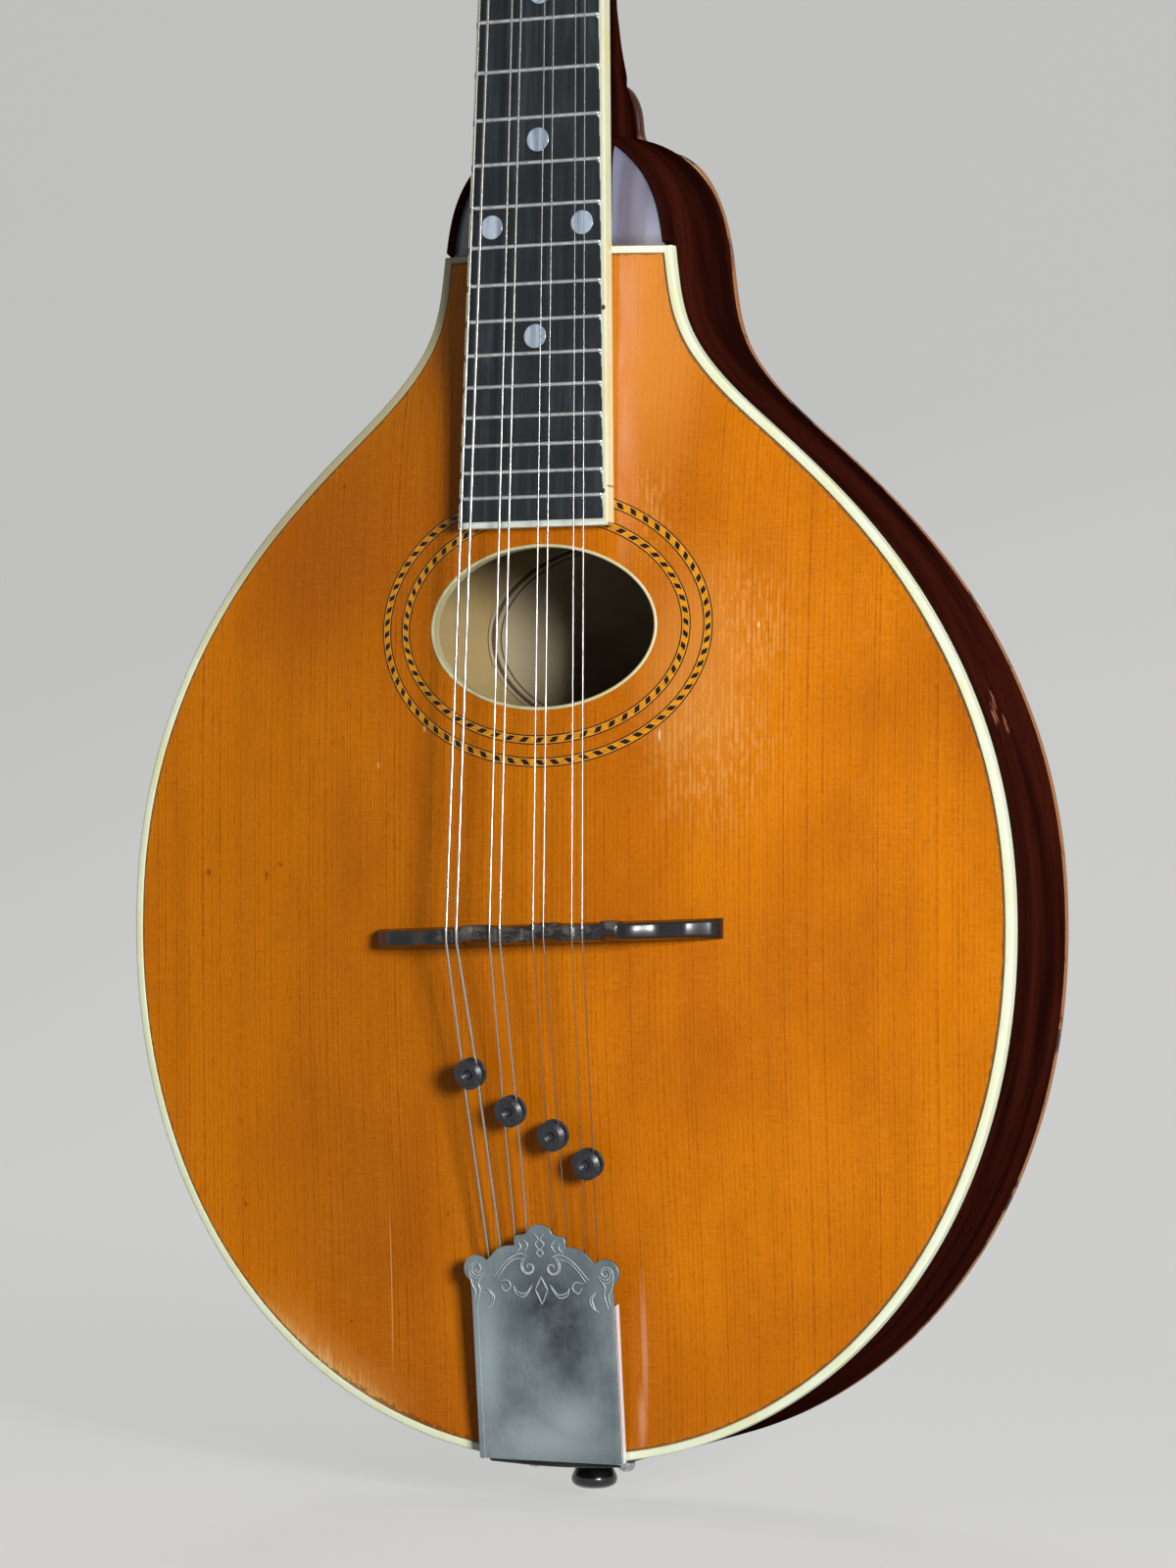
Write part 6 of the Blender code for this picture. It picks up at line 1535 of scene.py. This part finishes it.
def makeBase():
    # A sheet carried along the plate, round a quarter bend of radius r and down the body's end, its lower part
    # set to the end's curve; then the two rails that hold the cover, and the eight hooks
    sheet, seat, slope, r = tailpiece["sheet"], body["seat"], tailpiece["baseSlope"], tailpiece["bend"]
    a = np.linspace(0, math.pi / 2, 10)
    low, face = -seat - sheet, seat + sheet
    along = np.concatenate([[tailpiece["baseLength"]], low + r - r * np.sin(a), [low]])
    out = np.concatenate([[face + slope * tailpiece["baseLength"]], face - r + r * np.cos(a), [-tailpiece["legDepth"]]])
    inner = r - sheet
    alongIn = np.concatenate([[tailpiece["baseLength"]], low + r - inner * np.sin(a), [-seat]])
    outIn = np.concatenate([[seat + slope * tailpiece["baseLength"]], face - r + inner * np.cos(a), [-tailpiece["legDepth"]]])
    loop = np.stack([np.concatenate([along, alongIn[::-1]]), np.concatenate([out, outIn[::-1]])], axis=-1)
    plateHalf = tailpiece["width"] / 2 - sheet - 0.0006
    s = np.linspace(-1, 1, 25)[:, None]
    down = np.clip((face - loop[:, 1]) / r, 0, 1)[None, :]
    x = s * (plateHalf + (tailpiece["legWidth"] / 2 - plateHalf) * down)
    height = tailLine + loop[None, :, 0] + (tailEdge(x) - tailLine) * down
    pieces = [skin("base_sheet", at(x, height, loop[None, :, 1]), "shadedBaseMetal", capU=True)]
    for sign in (-1, 1):
        outer = tailpiece["width"] / 2 - sheet - strings["turnGap"]
        run = np.linspace(*tailpiece["rails"], 12)[:, None]
        floor = face + slope * run - sheet
        under = tailpiece["lift"] + tailpiece["slope"] * (run - tailpiece["inset"]) - sheet - strings["turnGap"]
        box = softCorners([(0.0, 0.0), (1.0, 0.0), (1.0, 1.0), (0.0, 1.0)], 0.2, 3, closed=True)
        points = at(sign * (outer - sheet + sheet * box[:, 0]), tailLine + run, floor + (under - floor) * box[:, 1])
        pieces.append(skin(f"rail_{sign + 1}", points, "shadedBaseMetal", capU=True))
    place = Matrix.Translation(Vector(at(0.0, tailLine, face))) @ sloping(slope)
    rim, tall = strings["hookRadius"], tailpiece["hookTall"]
    peg = softCorners([(0.0, -0.0004), (rim, -0.0004), (rim, tall - 0.0005), (rim + 0.0001, tall - 0.0004),
                       (rim + 0.0001, tall - 0.0001), (0.0, tall)], 0.0001, 3)
    for course in range(4):
        for sign in (-1, 1):
            x = strings["atHooks"][course] + sign * strings["pairAtHooks"] / 2
            spun = turnedPoints(peg, 20) + np.array([x, strings["hookInset"], 0.0])
            pieces.append(skin(f"hook_{course}_{sign + 1}", moved(spun, place), "bright", capU=True))
    obj = merged("tail_base", pieces)
    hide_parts("tailpiece_base")


def makeScrew(side):
    # A domed head with a straight slot, on a plain shank, square to the body's end
    sign = -1 if side == "bass" else 1
    head_, tall, shank = screws["head"], screws["tall"], screws["shank"]
    profile = softCorners([(0.0, tall), (head_ * 0.5, tall * 0.9), (head_ * 0.88, tall * 0.55), (head_, 0.0), (shank, 0.0),
                           (shank, 0.002 - screws["length"]), (0.0, -screws["length"])], 0.0005, 4)
    points = turnedPoints(profile, 48)
    groove = np.clip(1 - (np.abs(points[..., 0]) / 0.00035) ** 6, 0, 1) * (points[..., 2] > 0.0010)
    points[..., 2] -= groove * 0.0007
    lean = tailAngle(sign * screws["side"])
    out = 2 * body["seat"] + tailpiece["sheet"]
    foot = (sign * screws["side"] + out * math.sin(lean), screws["depth"],
            float(tailEdge(screws["side"])) - out * math.cos(lean))
    turn = Matrix.Rotation(-lean, 4, "Y") @ Matrix.Rotation(math.pi, 4, "X")
    obj = skin(f"screw_{side}", moved(points, Matrix.Translation(foot) @ turn), "bright", capU=True)
    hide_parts(f"bracket_screw_{side}")


def makeEndPin():
    button, reach = pin["button"], pin["reach"]
    profile = softCorners([(0.0, reach), (button * 0.62, reach), (button * 0.93, reach - 0.0010),
                           (button, reach - 0.0026), (button * 0.86, reach - 0.0046), (pin["radius"] + 0.0008, 0.0016),
                           (pin["radius"] + 0.0014, 0.0), (pin["radius"], 0.0), (pin["radius"] - 0.0004, -pin["length"]),
                           (0.0, -pin["length"])], 0.0008, 5)
    foot = Matrix.Translation((0.0, pin["depth"], tailLine - 2 * body["seat"] - tailpiece["sheet"]))
    points = moved(turnedPoints(profile, 64), foot @ Matrix.Rotation(math.pi, 4, "X"))
    obj = skin("strap_pin", points, "pin", capU=True, sharp=50.0)
    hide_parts("end_pin")


makeCover()
makeEngraving()
makeBase()
makeScrew("bass")
makeScrew("treble")
makeEndPin()
print("tailpiece made")


# Tuners

def makePost(name, sign, along):
    # A turned post with a neat top and, below the plate, a gear with slanted teeth
    low = gearTop - tuners["gearWall"] - 0.0006
    r = tuners["postRadius"]
    profile = softCorners([(0.0, 0.0130), (r - 0.0004, 0.0130), (r, 0.0124), (r, 0.0110), (r - 0.0004, 0.0104),
                           (r - 0.0004, 0.0040), (r, 0.0034), (r, plateTop + 0.0001), (r - 0.0008, plateTop),
                           (r - 0.0008, low), (0.0, low)], 0.0003, 3)
    place = headPlace @ Matrix.Translation((sign * tuners["side"], along, 0.0))
    pieces = [skin(f"post_{name}", moved(turnedPoints(profile, 40), place), "tuner", capU=True,
                   rideOn=f"tuner_post_{name}")]
    # gear radius = pitch + 0.45 mm * shape(cos(teeth * angle)), turned a little more at each level
    a = np.linspace(0, 2 * math.pi, tuners["teeth"] * 10, endpoint=False)
    levels = np.array([0.0, 0.0, 0.5, 1.0, 1.0])
    lead = tuners["pitch"] / tuners["teeth"] / tuners["wormPitch"]
    twist = tuners["gearWall"] * lead / tuners["pitch"]
    tooth = np.clip(np.cos(tuners["teeth"] * (a - math.pi / 2)) * 1.6 - 0.75, -0.55, 0.45) / 1000
    radius = np.stack([np.full(len(a), 0.0015), tuners["pitch"] + tooth, tuners["pitch"] + tooth,
                       tuners["pitch"] + tooth, np.full(len(a), 0.0015)])
    angle = a[None, :] + (0.5 - levels[:, None]) * twist
    height = np.broadcast_to((gearTop - levels * tuners["gearWall"])[:, None], radius.shape)
    gear = np.stack([radius * np.cos(angle), radius * np.sin(angle), height], axis=-1)
    pieces.append(skin(f"gear_{name}", moved(gear, place), "tuner", capU=True,
                       rideOn=f"tuner_post_{name}"))
    obj = merged(f"post_and_gear_{name}", pieces)
    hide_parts(f"tuner_post_{name}")


def makeKey(name, sign, along):
    # A shaft with a helical thread, a collar and an oval button. Its own Z points outward.
    reach = tuners["wormLength"] / 2 + strings["turnGap"] + tuners["lug"] + 0.0008
    edge = head["upper"] / 2 - tuners["side"]
    stem = edge + tuners["reach"] - 0.0030
    turn = Matrix.Rotation(sign * math.pi / 2, 4, "Y")
    place = headPlace @ Matrix.Translation((sign * tuners["side"], along + wormOffset, wormLift)) @ turn
    half = tuners["wormLength"] / 2
    profile = softCorners([(0.0, stem), (0.0020, stem), (0.0022, edge + 0.0042), (tuners["shaft"], edge + 0.0036),
                           (tuners["shaft"], half), (tuners["shaft"], -reach), (0.0, -reach)], 0.0003, 3)
    pieces = [skin(f"shaft_{name}", moved(turnedPoints(profile, 32), place), "tuner", capU=True,
                   rideOn=f"tuner_key_{name}")]
    # thread: radius = root + ridge of (z / pitch - angle / 2 pi), faded at both ends
    z = np.linspace(-half, half, 90)[:, None]
    a = np.linspace(0, 2 * math.pi, 28, endpoint=False)[None, :]
    pitch = 2 * math.pi * tuners["pitch"] / tuners["teeth"]
    ridge = np.clip(np.cos(2 * math.pi * z / pitch - a) * 1.5 - 0.9, 0, 0.6) / 0.6
    fade = np.clip((half - np.abs(z)) / 0.0004, 0, 1)
    radius = tuners["wormRoot"] * (1 - 0.12 * (fade < 0.01)) + ridge * fade * 0.00085
    worm = np.stack([radius * np.cos(a), radius * np.sin(a), np.broadcast_to(z, radius.shape)], axis=-1)
    pieces.append(skin(f"worm_{name}", moved(worm, place), "tuner", capU=True,
                       rideOn=f"tuner_key_{name}"))
    # button: a flattened ellipsoid, squarer than a sphere: cos and sin raised to 0.8
    u = np.linspace(0.02, math.pi - 0.02, 25)[:, None]
    v = np.linspace(0, 2 * math.pi, 40, endpoint=False)[None, :]
    power = lambda value: np.sign(value) * np.abs(value) ** 0.8
    button = np.stack([tuners["buttonWidth"] / 2 * power(np.sin(u)) * power(np.cos(v)),
                       tuners["buttonWall"] / 2 * power(np.sin(u)) * power(np.sin(v)),
                       edge + tuners["reach"] + tuners["buttonHeight"] / 2 * np.cos(u) * np.ones_like(v)], axis=-1)
    pieces.append(skin(f"button_{name}", moved(button, place), "button", capU=True,
                       rideOn=f"tuner_key_{name}"))
    obj = merged(f"key_{name}", pieces)
    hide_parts(f"tuner_key_{name}")


for side, sign in (("bass", -1), ("treble", 1)):
    for number in range(4):
        along = tuners["first"] + number * tuners["spacing"]
        makePost(f"{side}_{number + 1}", sign, along)
        makeKey(f"{side}_{number + 1}", sign, along)
    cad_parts[f"tuner_plate_{side}"].data.materials.clear()
    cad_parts[f"tuner_plate_{side}"].data.materials.append(finishes["tuner"])
print("tuners made")


# Floor and backdrop: one sheet that curves up behind, and a pale world that lights softly

def seenDirectly(tree):
    # 1 for what the camera sees, straight, in a mirror or through glass
    rays = node(tree, "ShaderNodeLightPath").outputs
    seen = calc(tree, "MAXIMUM", rays["Is Camera Ray"], rays["Is Glossy Ray"])
    return calc(tree, "MAXIMUM", seen, rays["Is Transmission Ray"])


def makeStage():
    # Level floor, a quarter circle, then a wall: (bend + r sin a, floor + r (1 - cos a))
    radius = studio["bendRadius"]
    a = np.linspace(0, math.pi / 2, 40)
    depth = np.concatenate([[-14.0], studio["bend"] + radius * np.sin(a), [studio["bend"] + radius]])
    rise = np.concatenate([[0.0], radius * (1 - np.cos(a)), [5.0]]) + studio["floor"]
    x = np.linspace(-14.0, 14.0, 5)
    points = np.stack(np.broadcast_arrays(x[None, :], depth[:, None], rise[:, None]), axis=-1)
    rows, cols = points.shape[:2]
    index = np.arange(rows * cols).reshape(rows, cols)
    faces = np.stack([index[:-1, :-1], index[:-1, 1:], index[1:, 1:], index[1:, :-1]], axis=-1).reshape(-1, 4)
    mesh = bpy.data.meshes.new("stage")
    mesh.from_pydata(points.reshape(-1, 3).tolist(), [], faces.tolist())
    mesh.shade_smooth()
    material, tree, shader = newFinish("stage", 0.85, specular=0.2)
    shader.inputs["Base Color"].default_value = (*studio["floorColour"], 1.0)
    shader.inputs["Emission Color"].default_value = (1.0, 1.0, 0.99, 1.0)
    feed(tree, calc(tree, "MULTIPLY", seenDirectly(tree), studio["floorGlow"]), shader.inputs["Emission Strength"])
    mesh.materials.append(material)
    obj = bpy.data.objects.new("stage", mesh)
    bpy.context.scene.collection.objects.link(obj)


def makeWorld():
    world = bpy.data.worlds.new("world")
    bpy.context.scene.world = world
    world.use_nodes = True
    tree = world.node_tree
    tree.nodes.clear()
    soft = node(tree, "ShaderNodeBackground", {"Color": (1.0, 1.0, 1.0, 1.0), "Strength": studio["fillLight"]})
    pale = node(tree, "ShaderNodeBackground", {"Color": (*studio["skyColour"], 1.0), "Strength": 1.0})
    both = node(tree, "ShaderNodeMixShader", {0: seenDirectly(tree)})
    tree.links.new(soft.outputs[0], both.inputs[1])
    tree.links.new(pale.outputs[0], both.inputs[2])
    out = node(tree, "ShaderNodeOutputWorld")
    tree.links.new(both.outputs[0], out.inputs[0])


makeStage()
makeWorld()
print("stage made")
